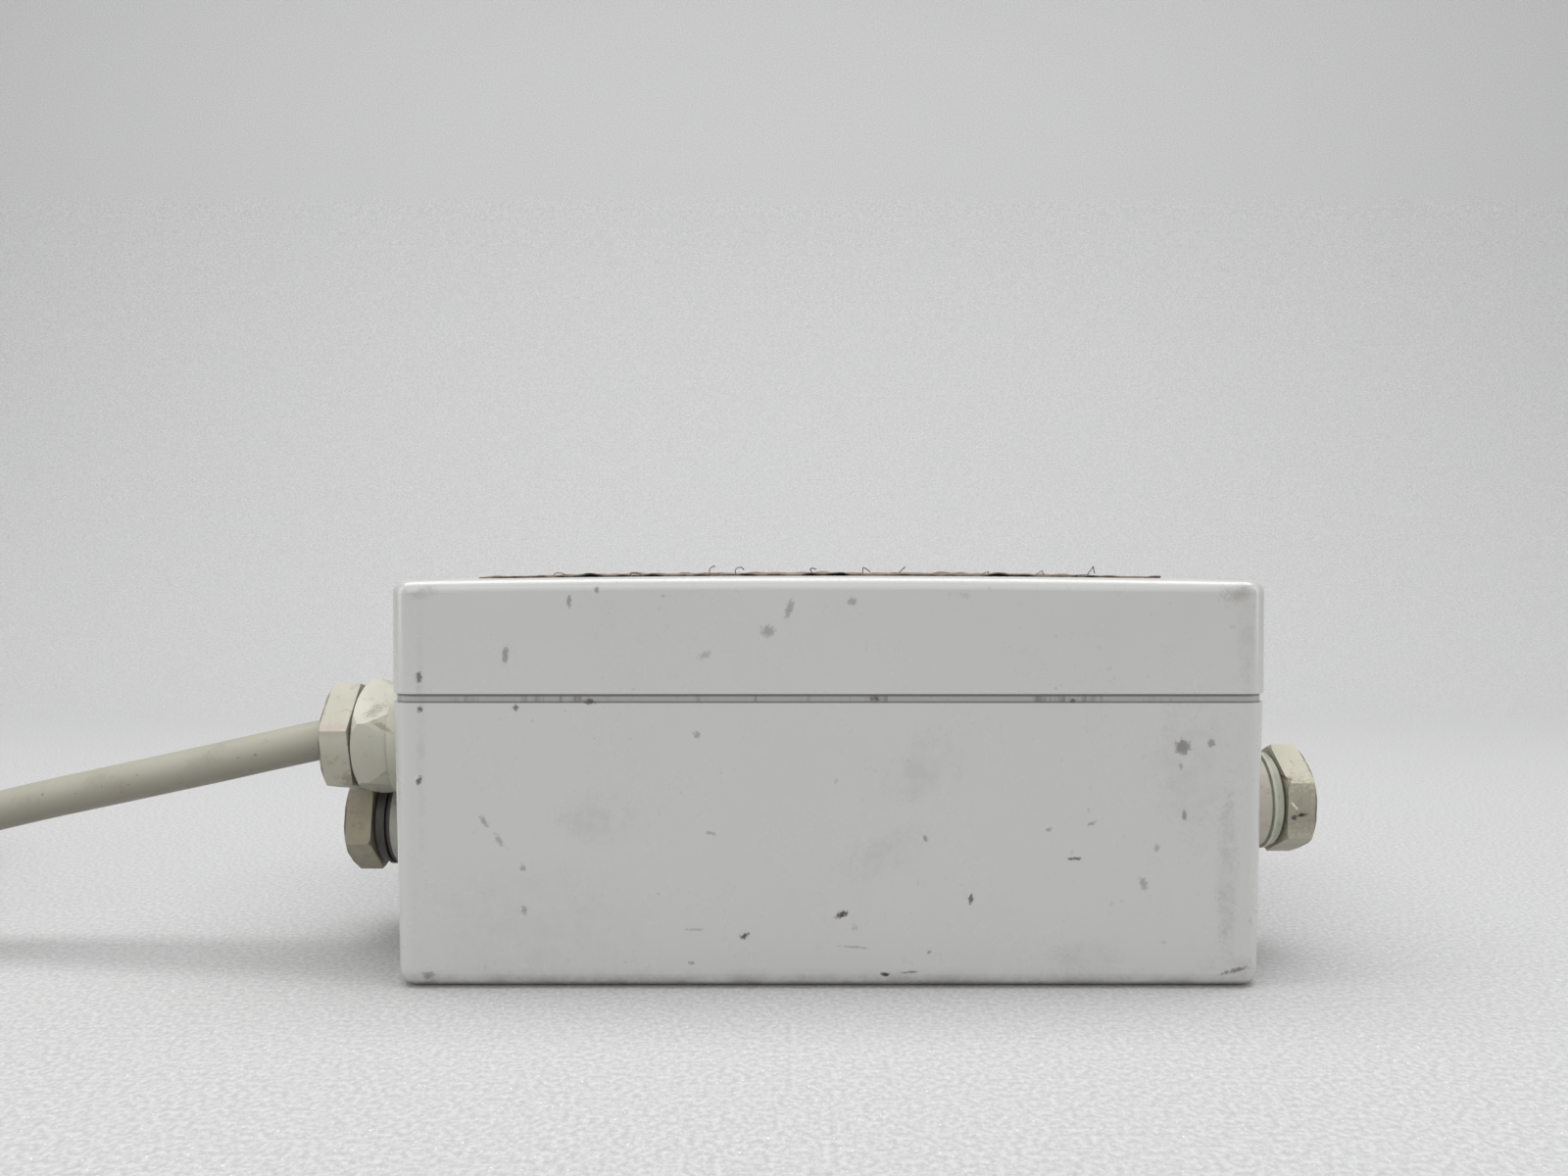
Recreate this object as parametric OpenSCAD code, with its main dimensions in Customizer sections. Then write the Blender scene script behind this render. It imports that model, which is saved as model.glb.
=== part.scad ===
// Control box of a garage door opener: a screwed plastic enclosure with three cable glands,
// a mains lead with its plug, and the control board inside.
// Frame: origin at the centre of the underside, +Z up, -Y to the front, +X to the right.

/* [Enclosure] */
// Width of the enclosure along X
box_w = 204.4; // [200:0.1:220]
// Depth of the enclosure along Y
box_d = 120; // [118:1:130]
// Height of the base up to the seam
base_h = 66.7; // [66:0.1:72]
// Height of the recessed neck that the lid sits on
neck_h = 2; // [1.8:0.1:3]
// Height of the lid
lid_h = 26.2; // [24:0.1:36]
// How far the base's sides slope in, from the seam down to the foot
draft = 0.9; // [0:0.1:1.1]
// Thickness of the side walls at the seam
wall = 3.5; // [3.2:0.1:3.8]
// Thickness of the base's floor
floor_t = 3.5; // [3:0.1:4]
// Thickness of the lid's top
lid_top_t = 3; // [2.5:0.1:3.5]
// Radius of the four upright corners
corner_r = 6; // [5.5:0.1:7]
// Radius of the base's bottom edge
foot_r = 3.5; // [2:0.1:4]
// Radius of the lid's top edge
crown_r = 3; // [2:0.1:4]
// How far the neck stands back from the outside
neck_step = 0.8; // [0.5:0.1:1]
// Gap between the closed lid's rim and the neck
seam_gap = 0.1; // [0.05:0.05:0.2]

/* [Wall mounting] */
// Distance between the mounting holes along X
mount_x = 180; // [174:1:180]
// Distance between the mounting holes along Y
mount_y = 72; // [66:1:74]
// Radius of a mounting hole
mount_r = 2.3; // [2:0.1:2.5]

/* [Label] */
// Width of the label on the lid
label_w = 166; // [120:1:168]
// Depth of the label on the lid
label_d = 96; // [60:1:98]
// Thickness of the label
label_t = 0.4; // [0.2:0.1:0.6]

/* [Cable glands] */
// Distance across the flats of the cable gland's body
body_af = 26; // [25:0.5:27]
// Distance across the flats of the cable gland's nut
cable_nut_af = 25; // [24:0.5:26]
// Distance across the flats of the two spare glands' nuts
spare_nut_af = 24; // [23:0.5:25]
// Outside radius of the gland thread, M20
gland_thread_r = 10; // [9.8:0.1:10.2]
// Pitch of the gland nut's thread
nut_pitch = 1.5; // [1:0.1:1.5]
// Distance across the flats of the locknuts
locknut_af = 24; // [23:0.5:24]

/* [Mains lead] */
// Outside diameter of the mains lead
cable_d = 10; // [8:0.5:10]
// Diameter of the coil through the middle of its turns
coil_mid_d = 100; // [100:5:110]

/* [Control board] */
// Width of the circuit board
board_w = 150; // [146:1:152]
// Depth of the circuit board
board_d = 92; // [90:1:93]
// Thickness of the circuit board
board_t = 1.6; // [1.2:0.1:2]
// Height of the stand-offs under the circuit board
standoff_h = 8.5; // [8:0.5:10]
// Travel of a push button
button_travel = 0.3; // [0.2:0.05:0.35]
// Travel of a DIP switch lever
lever_travel = 1.8; // [1.5:0.1:1.8]

/* [Hidden] */

$fn = 48;
eps = 0.02;                // overlap that makes a cut or a joint clean
rim_z = base_h + neck_h;   // top of the neck
lid_z = rim_z + seam_gap;  // underside of the closed lid
top_z = lid_z + lid_h;     // top of the lid
half_w = box_w / 2;
half_d = box_d / 2;
inner_r = corner_r - wall;
foot_h = 6;                // height of the base's foot, under its sloping sides
seam_step = 0.2;           // how far the base stands back from the lid at the seam

// Corner columns and lid screws
column_r = 4.4;
column_x = half_w - 8.3;
column_y = half_d - 8.3;
lid_column_r = 5.2;
screw_r = 2;
screw_hole_r = 2.1;
screw_head_r = 3.4;
screw_head_h = 3;
screw_well_r = 3.8;
screw_seat_z = lid_z + 8;
screw_len = 22;
mount_boss_r = 5;
mount_boss_h = 5;

// Gasket groove in the rim
groove_in = 1.4;
groove_w = 1.4;
groove_depth = 2;
gasket_h = 1.1;
tongue_w = 0.8;
tongue_h = 0.8;

// Cable glands: where each one's axis meets the wall, [y, z], the height of its collar, and the
// angles that its hexagons are turned by. A gland is drawn with +Z away from the wall.
cable_gland_at = [-35, 55.3];
left_gland_at = [-17, 31.2];
right_gland_at = [-33, 39.3];
cable_collar = 13;
left_collar = 14.3;
right_collar = 10;
body_turn = 50;
cable_nut_turn = 43.2;
left_nut_turn = 11;
right_nut_turn = 4;
washer_t = 1;
washer_r = 12.6;
pad_r = 13;                // the flat pad on the wall that a gland's washer lies on
nut_gap = 0.6;
cable_nut_h = 7.2;
spare_nut_h = 7;
cable_nut_bevel = 0.2;
spare_nut_bevel = 0.9;
nut_tail_h = 4.5;
nut_tail_r = 9.2;
nut_bore_r = 6.4;
socket_r = 9.27;
thread_bore_r = 7;
seal_floor = 2;
ring_h = 1;
wall_hole_r = gland_thread_r + 0.3;
thread_len = wall + 11;
locknut_h = 5;
spare_bore_r = 5;

// Circuit board
board_z = floor_t + standoff_h;
board_top = board_z + board_t;
standoff_x = 68;
standoff_y = 39;
board_hole_r = 1.6;

// Places of the parts on the board, [x, y]
transformer_at = [46, 20];
capacitor_at = [[8, 32], [8, 14]];
relay_at = [[-50, -4], [-27, -4], [-4, -4]];
mains_at = [-62, -45];
motor_at = [-32, -45];
control_at = [6, -45];
fuse_at = [-52, 32];
dip_at = [22, -18];
chip_at = [-28, 14];
button_at = [[62, -30], [62, -20], [62, -10], [50, -30]];
trimmer_at = [[42, -16], [42, -27]];
led_at = [[68, 8], [68, 14], [68, 20]];
radio_at = [-18, 38];
antenna_at = [-68, 24];

// Transformer, with its core's laminations upright and its windings round the middle leg
core_w = 40;
core_h = 34;
core_stack = 16;
leg_w = 12;
window_w = 8;
window_h = 22;
core_foot = 1;
bobbin_wall = 1;
bobbin_reach = 7;

// Fuse
fuse_z = 7;
fuse_r = 2.6;
fuse_len = 20;
fuse_cap_len = 5;

// Terminals
terminal_h = 14;
terminal_d = 11;
mains_pitch = 7.5;
motor_pitch = 7.5;
control_pitch = 5;
mains_poles = 3;
motor_poles = 4;
control_poles = 10;

// Small switches
lever_w = 1;
lever_l = 1.8;
lever_pitch = 2.54;
lever_gap = 0.3;
slot_l = lever_l + lever_travel + 2 * lever_gap;
slot_w = lever_w + 2 * lever_gap;
dip_h = 4.5;
button_w = 6;
button_h = 3.5;
cap_r = 1.6;
trimmer_w = 8;
trimmer_h = 4.5;
rotor_r = 2.6;
moving_gap = 0.3;

// Mains lead. The route's points are chosen by hand, from the gland's mouth to the coil.
cable_r = cable_d / 2;
mouth_x = -(half_w + cable_collar + nut_gap + cable_nut_h);
cable_route = [
    [-123, -35, 55.3], [-130, -35, 53.9], [-140, -34.6, 51.7], [-155, -33.9, 48.3],
    [-170, -33, 45], [-185, -31.9, 41.7], [-200, -31, 38.4], [-215, -30.8, 34.8],
    [-230, -31.4, 30.6], [-245, -33, 25.6], [-260, -35.6, 20.2], [-275, -38.8, 14.8],
    [-290, -42, 10], [-305, -44.8, 6.8], [-318, -46.8, 5.3], [-330, -47.8, 5]
];
coil_at = [-335, 12.2];
coil_turns = 2;
coil_out_r = coil_mid_d / 2 + coil_turns * cable_d / 2;
coil_clear = 0.3;
tail_r = coil_out_r - 3;   // the tail's distance from the coil's middle
tail_z = 15;
tail_rise = 4;
tail_straight = 44;
tail_start = [coil_at[0], coil_at[1] - tail_r, tail_z];
tail_way = [-1, 0, 0];
tail_reach = sqrt(pow(coil_out_r + cable_r + coil_clear, 2) - pow(tail_r, 2)) - 4;
relief_len = 22;
plug_len = 35;
plug_r = 19;
pin_r = 2.4;
pin_len = 19;
pin_gap = 19;

// Stripped cores inside the enclosure, with the points where they fan out and turn down
core_r = 1.2;
jacket_end_x = -82;
core_gap = 0.2;   // from the jacket's end to the cores that come out of it
core_start_turn = [210, 90, 330];
core_fan = [[-74, -41.5, 47], [-70, -39.5, 50], [-66, -37.5, 50]];
core_drop = [[-66, -49.5, 34], [-59.5, -49.2, 34], [-53, -48.9, 34]];

// ---------- shapes that repeat ----------

function unit(v) = v / norm(v);

// A point on a smooth curve through p1 and p2, with neighbours p0 and p3.
function spline_point(p0, p1, p2, p3, t) =
    0.5 * (2 * p1 + (p2 - p0) * t
        + (2 * p0 - 5 * p1 + 4 * p2 - p3) * t * t
        + (3 * p1 - p0 - 3 * p2 + p3) * t * t * t);

// All points of a smooth curve through a list of points, steps to a stretch.
function spline(points, steps) = let (last = len(points) - 1) [
    for (i = [0 : last - 1], k = [0 : steps - 1])
        spline_point(points[max(i - 1, 0)], points[i], points[i + 1],
            points[min(i + 2, last)], k / steps),
    points[last]
];

function direction(path, i) = unit(path[min(i + 1, len(path) - 1)] - path[max(i - 1, 0)]);

// Corners of the ring round point i of a path.
function ring(path, i, r, sides, side_hint) =
    let (along = direction(path, i),
        across = unit(cross(side_hint, along)),
        up = cross(along, across))
    [for (k = [0 : sides - 1])
        path[i] + r * (cos(360 * k / sides) * across + sin(360 * k / sides) * up)];

// A closed round tube along a path.
module tube(path, r, sides = 10, side_hint = [0, 0, 1]) {
    rings = len(path);
    points = [for (i = [0 : rings - 1]) each ring(path, i, r, sides, side_hint)];
    faces = [
        [for (k = [0 : sides - 1]) k],
        for (i = [0 : rings - 2], k = [0 : sides - 1])
            [i * sides + k, (i + 1) * sides + k,
                (i + 1) * sides + (k + 1) % sides, i * sides + (k + 1) % sides],
        [for (k = [sides - 1 : -1 : 0]) (rings - 1) * sides + k]
    ];
    polyhedron(points, faces, convexity = 8);
}

// A flat rectangle with round corners, centred on the origin.
module rounded_rect(w, d, r) {
    square([w - 2 * r, d], center = true);
    square([w, d - 2 * r], center = true);
    for (x = [-1, 1], y = [-1, 1])
        translate([x * (w / 2 - r), y * (d / 2 - r)])
            circle(r);
}

// The upright outline of a box whose low edges are rounded by edge_r.
module edge_outline(w, h, edge_r) {
    translate([-w / 2, edge_r])
        square([w, h - edge_r]);
    translate([-w / 2 + edge_r, 0])
        square([w - 2 * edge_r, h]);
    for (x = [-1, 1])
        translate([x * (w / 2 - edge_r), edge_r])
            circle(edge_r);
}

// A solid box with round upright corners and a rounded low edge.
module rounded_box(w, d, h, r, edge_r) {
    rotate([90, 0, 90])
        linear_extrude(w - 2 * r, center = true)
            edge_outline(d, h, edge_r);
    rotate([90, 0, 0])
        linear_extrude(d - 2 * r, center = true)
            edge_outline(w, h, edge_r);
    for (x = [-1, 1], y = [-1, 1])
        translate([x * (w / 2 - r), y * (d / 2 - r), 0])
            rotate_extrude()
                intersection() {
                    edge_outline(2 * r, h, edge_r);
                    square([r, h]);
                }
}

module taper_outline(w, h, slope) {
    polygon([[-w / 2 + slope, 0], [-w / 2, h], [w / 2, h], [w / 2 - slope, 0]]);
}

// A solid box with round upright corners, whose sides come in by slope on the way down. Its width,
// depth and corner radius are those of its top.
module tapered_box(w, d, h, r, slope) {
    rotate([90, 0, 90])
        linear_extrude(w - 2 * r, center = true)
            taper_outline(d, h, slope);
    rotate([90, 0, 0])
        linear_extrude(d - 2 * r, center = true)
            taper_outline(w, h, slope);
    for (x = [-1, 1], y = [-1, 1])
        translate([x * (w / 2 - r), y * (d / 2 - r), 0])
            cylinder(h = h, r1 = r - slope, r2 = r);
}

// An upright ring that follows the walls, with its outside inset from the enclosure's outside.
module wall_ring(inset, w, h) {
    linear_extrude(h)
        difference() {
            rounded_rect(box_w - 2 * inset, box_d - 2 * inset, corner_r - inset);
            rounded_rect(box_w - 2 * (inset + w), box_d - 2 * (inset + w),
                corner_r - inset - w);
        }
}

module at_columns() {
    for (x = [-column_x, column_x], y = [-column_y, column_y])
        translate([x, y, 0])
            children();
}

// A column in each corner, joined to both walls.
module corner_columns(r, z0, h) {
    at_columns()
        translate([0, 0, z0])
            cylinder(h = h, r = r);
    for (x = [-1, 1], y = [-1, 1])
        translate([x * (half_w - wall / 2 - r), y * (half_d - wall / 2 - r), z0 + h / 2]) {
            translate([x * (r - 3), 0, 0])
                cube([4, 2 * r - 1.2, h], center = true);
            translate([0, y * (r - 3), 0])
                cube([2 * r - 1.2, 4, h], center = true);
        }
}

module at_mount_holes() {
    for (x = [-mount_x / 2, mount_x / 2], y = [-mount_y / 2, mount_y / 2])
        translate([x, y, 0])
            children();
}

// Puts a gland, drawn with +Z away from the wall, on the left or right wall.
module on_left(at) {
    translate([-half_w, at[0], at[1]])
        rotate([0, -90, 0])
            children();
}

module on_right(at) {
    translate([half_w, at[0], at[1]])
        rotate([0, 90, 0])
            children();
}

module at_glands() {
    on_left(cable_gland_at)
        children();
    on_left(left_gland_at)
        children();
    on_right(right_gland_at)
        children();
}

module hexagon(af, h) {
    cylinder(h = h, r = af / sqrt(3), $fn = 6);
}

// ---------- enclosure ----------

// The solid outside shape of the base up to the seam: an upright foot, then sloping sides.
module base_block() {
    inset = seam_step + draft;
    rounded_box(box_w - 2 * inset, box_d - 2 * inset, foot_h, corner_r - inset, foot_r);
    translate([0, 0, foot_h])
        tapered_box(box_w - 2 * seam_step, box_d - 2 * seam_step, base_h - foot_h,
            corner_r - seam_step, draft);
}

// Flat upright pads for the glands on the sloping end walls, ending just under the seam.
module gland_pads() {
    difference() {
        at_glands()
            translate([0, 0, -wall / 2])
                cylinder(h = wall / 2, r = pad_r);
        translate([-half_w - 1, -half_d, base_h - 0.5])
            cube([box_w + 2, box_d, pad_r]);
    }
}

module enclosure_base() {
    color("gainsboro")
        difference() {
            union() {
                difference() {
                    union() {
                        base_block();
                        gland_pads();
                        translate([0, 0, base_h - eps])
                            linear_extrude(neck_h + eps)
                                rounded_rect(box_w - 2 * neck_step, box_d - 2 * neck_step,
                                    corner_r - neck_step);
                    }
                    translate([0, 0, floor_t])
                        linear_extrude(base_h + neck_h)
                            rounded_rect(box_w - 2 * wall, box_d - 2 * wall, inner_r);
                }
                translate([0, 0, rim_z - eps])
                    wall_ring(groove_in + (groove_w - tongue_w) / 2, tongue_w, tongue_h + eps);
                corner_columns(column_r, floor_t - eps, rim_z - floor_t - 0.5);
                at_mount_holes()
                    translate([0, 0, floor_t - eps])
                        cylinder(h = mount_boss_h, r = mount_boss_r);
            }
            at_columns()
                translate([0, 0, floor_t + 8])
                    cylinder(h = rim_z, r = screw_hole_r);
            at_mount_holes()
                translate([0, 0, -1])
                    cylinder(h = floor_t + mount_boss_h + 2, r = mount_r);
            at_glands()
                translate([0, 0, -wall - 1])
                    cylinder(h = wall + 2, r = wall_hole_r);
        }
}

module lid() {
    color("gainsboro")
        difference() {
            union() {
                difference() {
                    translate([0, 0, top_z])
                        mirror([0, 0, 1])
                            rounded_box(box_w, box_d, lid_h, corner_r, crown_r);
                    translate([0, 0, lid_z - 1])
                        linear_extrude(lid_h - lid_top_t + 1)
                            rounded_rect(box_w - 2 * wall, box_d - 2 * wall, inner_r);
                }
                corner_columns(lid_column_r, lid_z + 0.4, lid_h - lid_top_t);
            }
            translate([0, 0, lid_z - 1])
                wall_ring(groove_in, groove_w, groove_depth + 1);
            at_columns() {
                translate([0, 0, lid_z - 1])
                    cylinder(h = lid_h, r = screw_r + 0.3);
                translate([0, 0, screw_seat_z])
                    cylinder(h = lid_h, r = screw_well_r);
            }
        }
}

module lid_gasket() {
    color("dimgray")
        translate([0, 0, lid_z + groove_depth - gasket_h])
            wall_ring(groove_in, groove_w, gasket_h);
}

// Slotted captive screws, standing in the lid's wells.
module lid_screws() {
    color("silver")
        at_columns()
            translate([0, 0, screw_seat_z])
                difference() {
                    union() {
                        cylinder(h = screw_head_h, r = screw_head_r);
                        translate([0, 0, -screw_len])
                            cylinder(h = screw_len + 1, r = screw_r);
                    }
                    translate([-screw_head_r - 1, -0.5, screw_head_h - 1.2])
                        cube([2 * screw_head_r + 2, 1, 2]);
                }
}

module lid_label() {
    color("saddlebrown")
        translate([-1.3, 0, top_z])
            linear_extrude(label_t)
                rounded_rect(label_w, label_d, 3);
}

// ---------- cable glands ----------

// The threaded spigot that goes through the wall, with shallow thread rings.
module gland_spigot() {
    rings = floor((thread_len - 2) / nut_pitch);
    depth = 0.5;
    rotate_extrude()
        polygon([
            [0, washer_t], [gland_thread_r - depth, washer_t],
            for (i = [0 : rings - 1])
                each [
                    [gland_thread_r - depth, -i * nut_pitch - 0.2],
                    [gland_thread_r, -(i + 0.5) * nut_pitch - 0.1]
                ],
            [gland_thread_r - depth, -thread_len], [0, -thread_len]
        ]);
}

module gland_bores(collar) {
    translate([0, 0, -thread_len - 1])
        cylinder(h = thread_len + collar + 2, r = thread_bore_r);
    translate([0, 0, seal_floor])
        cylinder(h = collar, r = socket_r);
}

// The hexagonal body: a round flange, then a hexagon whose corners are turned down at both ends.
module cable_gland_body() {
    flange_r = 14.3;
    flange_h = 4.2;
    corner_start_r = 13.6;
    corner_r_full = 15.1;
    color("lightgray")
        on_left(cable_gland_at)
            difference() {
                union() {
                    gland_spigot();
                    translate([0, 0, washer_t])
                        cylinder(h = flange_h - washer_t, r = flange_r);
                    intersection() {
                        rotate(body_turn)
                            hexagon(body_af, cable_collar);
                        rotate_extrude()
                            polygon([
                                [0, flange_h - eps], [corner_start_r, flange_h - eps],
                                [corner_r_full, flange_h + 5.4], [corner_r_full, flange_h + 6.6],
                                [14.6, cable_collar - 1.6], [13.9, cable_collar - 0.6],
                                [13, cable_collar], [0, cable_collar]
                            ]);
                    }
                }
                gland_bores(cable_collar);
            }
}

// The round body of a spare gland: a plain collar, a groove, a thin rim and a smaller shoulder.
module spare_gland_body(collar) {
    collar_r = 12;
    groove_r = 11.3;
    rim_r = 12.4;
    shoulder_r = 11.7;
    groove_z = collar - 3.3;
    color("darkkhaki")
        difference() {
            union() {
                gland_spigot();
                rotate_extrude()
                    polygon([
                        [0, washer_t], [collar_r, washer_t], [collar_r, groove_z],
                        [groove_r, groove_z + 0.1], [groove_r, groove_z + 0.5],
                        [rim_r, groove_z + 0.6], [rim_r, groove_z + 1.3],
                        [shoulder_r, groove_z + 1.5], [shoulder_r, collar - 0.4],
                        [shoulder_r - 0.4, collar], [0, collar]
                    ]);
            }
            gland_bores(collar);
        }
}

module left_gland_body() {
    on_left(left_gland_at)
        spare_gland_body(left_collar);
}

module right_gland_body() {
    on_right(right_gland_at)
        spare_gland_body(right_collar);
}

// The pressure nut: a hexagonal head with a threaded tail that goes into the body. Its corners are
// taken off by inner_bevel on the side of the body.
module gland_nut(af, head_h, collar, turn, inner_bevel) {
    head_z = collar + nut_gap;
    bevel = 0.9;
    full_r = af / sqrt(3);
    color("tan")
        difference() {
            union() {
                intersection() {
                    translate([0, 0, head_z])
                        rotate(turn)
                            hexagon(af, head_h);
                    rotate_extrude()
                        polygon([
                            [0, head_z], [full_r - inner_bevel, head_z], [full_r, head_z + inner_bevel / 2],
                            [full_r, head_z + head_h - bevel],
                            [full_r - 1.8 * bevel, head_z + head_h], [0, head_z + head_h]
                        ]);
                }
                translate([0, 0, head_z - nut_tail_h])
                    cylinder(h = nut_tail_h + 1, r = nut_tail_r);
            }
            translate([0, 0, head_z - nut_tail_h - 1])
                cylinder(h = nut_tail_h + head_h + 2, r = nut_bore_r);
            translate([0, 0, head_z + head_h - 0.8])
                cylinder(h = 1, r1 = nut_bore_r, r2 = nut_bore_r + 1);
        }
}

module gland_ring(collar) {
    color("ivory")
        translate([0, 0, collar + nut_gap - nut_tail_h - ring_h])
            difference() {
                cylinder(h = ring_h, r = nut_tail_r - 0.2);
                translate([0, 0, -1])
                    cylinder(h = ring_h + 2, r = nut_bore_r);
            }
}

module gland_seal(collar, bore_r) {
    seal_h = collar + nut_gap - nut_tail_h - ring_h - seal_floor;
    color("black")
        translate([0, 0, seal_floor])
            difference() {
                cylinder(h = seal_h, r = socket_r - 0.05);
                translate([0, 0, -1])
                    cylinder(h = seal_h + 2, r = bore_r);
            }
}

module cable_gland_nut() {
    on_left(cable_gland_at)
        gland_nut(cable_nut_af, cable_nut_h, cable_collar, cable_nut_turn, cable_nut_bevel);
}

module left_gland_nut() {
    on_left(left_gland_at)
        gland_nut(spare_nut_af, spare_nut_h, left_collar, left_nut_turn, spare_nut_bevel);
}

module right_gland_nut() {
    on_right(right_gland_at)
        gland_nut(spare_nut_af, spare_nut_h, right_collar, right_nut_turn, spare_nut_bevel);
}

module cable_gland_ring() {
    on_left(cable_gland_at)
        gland_ring(cable_collar);
}

module left_gland_ring() {
    on_left(left_gland_at)
        gland_ring(left_collar);
}

module right_gland_ring() {
    on_right(right_gland_at)
        gland_ring(right_collar);
}

module cable_gland_seal() {
    on_left(cable_gland_at)
        gland_seal(cable_collar, cable_r + eps);
}

module left_gland_seal() {
    on_left(left_gland_at)
        gland_seal(left_collar, spare_bore_r);
}

module right_gland_seal() {
    on_right(right_gland_at)
        gland_seal(right_collar, spare_bore_r);
}

module gland_washers() {
    color("black")
        at_glands()
            difference() {
                cylinder(h = washer_t, r = washer_r);
                translate([0, 0, -1])
                    cylinder(h = washer_t + 2, r = gland_thread_r + 0.1);
            }
}

module gland_locknuts() {
    color("lightgray")
        at_glands()
            translate([0, 0, -wall - locknut_h])
                difference() {
                    hexagon(locknut_af, locknut_h);
                    translate([0, 0, -1])
                        cylinder(h = locknut_h + 2, r = gland_thread_r + 0.05);
                }
}

// ---------- circuit board ----------

module at_standoffs() {
    for (x = [-standoff_x, standoff_x], y = [-standoff_y, standoff_y])
        translate([x, y, 0])
            children();
}

// Moves a part drawn with its foot at the origin onto the board.
module on_board(at) {
    translate([at[0], at[1], board_top])
        children();
}

module circuit_board() {
    color("seagreen")
        difference() {
            translate([-board_w / 2, -board_d / 2, board_z])
                cube([board_w, board_d, board_t]);
            at_standoffs()
                translate([0, 0, board_z - 1])
                    cylinder(h = board_t + 2, r = board_hole_r);
        }
}

module board_standoffs() {
    color("goldenrod")
        at_standoffs()
            translate([0, 0, floor_t])
                difference() {
                    hexagon(6, standoff_h);
                    translate([0, 0, 1])
                        cylinder(h = standoff_h, r = 1.5);
                }
}

module board_screws() {
    color("silver")
        at_standoffs()
            difference() {
                union() {
                    translate([0, 0, board_top])
                        cylinder(h = 1.8, r = 2.8);
                    translate([0, 0, floor_t + 2.5])
                        cylinder(h = board_top - floor_t - 2, r = 1.45);
                }
                translate([-0.4, -3, board_top + 1])
                    cube([0.8, 6, 1]);
            }
}

// Laminated core: a frame with a middle leg, stacked along Y.
module core_windows(inset) {
    for (x = [-1, 1])
        translate([x * (leg_w + window_w) / 2, core_h / 2])
            square([window_w - 2 * inset, window_h - 2 * inset], center = true);
}

module transformer_core() {
    color("dimgray")
        on_board(transformer_at)
            translate([0, core_stack / 2, core_foot])
                rotate([90, 0, 0])
                    linear_extrude(core_stack)
                        difference() {
                            translate([-core_w / 2, 0])
                                square([core_w, core_h]);
                            core_windows(0);
                        }
}

// A rectangular ring round the core's middle leg, seen from above.
module leg_ring(inner, outer, z0, h) {
    translate([0, 0, z0])
        linear_extrude(h)
            difference() {
                rounded_rect(leg_w + 2 * outer, core_stack + 2 * outer, 0.8);
                rounded_rect(leg_w + 2 * inner, core_stack + 2 * inner, 0.4);
            }
}

module transformer_bobbin() {
    z0 = core_foot + (core_h - window_h) / 2 + 0.1;
    h = window_h - 0.2;
    color("black")
        on_board(transformer_at) {
            leg_ring(0.1, bobbin_wall, z0, h);
            leg_ring(0.1, bobbin_reach + 0.5, z0, bobbin_wall);
            leg_ring(0.1, bobbin_reach + 0.5, z0 + h - bobbin_wall, bobbin_wall);
            leg_ring(0.1, bobbin_reach + 0.5, z0 + h / 2 - 0.5, bobbin_wall);
        }
}

module transformer_winding() {
    z0 = core_foot + (core_h - window_h) / 2 + 0.1 + bobbin_wall;
    h = (window_h - 0.2 - 3 * bobbin_wall) / 2;
    color("orange")
        on_board(transformer_at)
            for (k = [0, 1])
                leg_ring(bobbin_wall, bobbin_reach - 0.6 * k, z0 + k * (h + bobbin_wall), h);
}

module filter_capacitors() {
    can_r = 6.5;
    can_h = 21;
    color("midnightblue")
        for (at = capacitor_at)
            on_board(at)
                rotate_extrude()
                    polygon([
                        [0, 0], [can_r, 0], [can_r, 2], [can_r - 0.6, 2.6], [can_r, 3.2],
                        [can_r, can_h - 0.6], [can_r - 0.6, can_h], [can_r - 1.4, can_h],
                        [can_r - 1.4, can_h - 0.3], [0, can_h - 0.3]
                    ]);
}

module relays() {
    color("royalblue")
        for (at = relay_at)
            on_board(at) {
                translate([0, 0, 0.6])
                    linear_extrude(14.9)
                        rounded_rect(19, 15.5, 0.8);
                linear_extrude(0.7)
                    rounded_rect(17.5, 14, 0.8);
            }
}

// A row of screw terminals, from its left front corner.
module terminal_row(poles, pitch) {
    difference() {
        rotate([90, 0, 90])
            linear_extrude(poles * pitch)
                polygon([
                    [0, 0], [terminal_d, 0], [terminal_d, terminal_h - 3],
                    [terminal_d - 2, terminal_h], [3, terminal_h], [0, terminal_h - 4]
                ]);
        for (k = [0 : poles - 1])
            translate([(k + 0.5) * pitch, 0, 0]) {
                translate([0, 6, terminal_h - 3])
                    cylinder(h = 4, r = pitch * 0.35);
                translate([-pitch * 0.3, -1, 2])
                    cube([pitch * 0.6, 6, 5]);
            }
    }
}

module mains_terminals() {
    color("orange")
        on_board(mains_at)
            terminal_row(mains_poles, mains_pitch);
}

module motor_terminals() {
    color("green")
        on_board(motor_at)
            terminal_row(motor_poles, motor_pitch);
}

module control_terminals() {
    color("green")
        on_board(control_at)
            terminal_row(control_poles, control_pitch);
}

module screw_row(at, poles, pitch) {
    on_board(at)
        for (k = [0 : poles - 1])
            translate([(k + 0.5) * pitch, 6, terminal_h - 3])
                difference() {
                    cylinder(h = 1.8, r = pitch * 0.3);
                    translate([-0.35, -pitch, 1])
                        cube([0.7, 2 * pitch, 2]);
                }
}

module terminal_screws() {
    color("silver") {
        screw_row(mains_at, mains_poles, mains_pitch);
        screw_row(motor_at, motor_poles, motor_pitch);
        screw_row(control_at, control_poles, control_pitch);
    }
}

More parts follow.
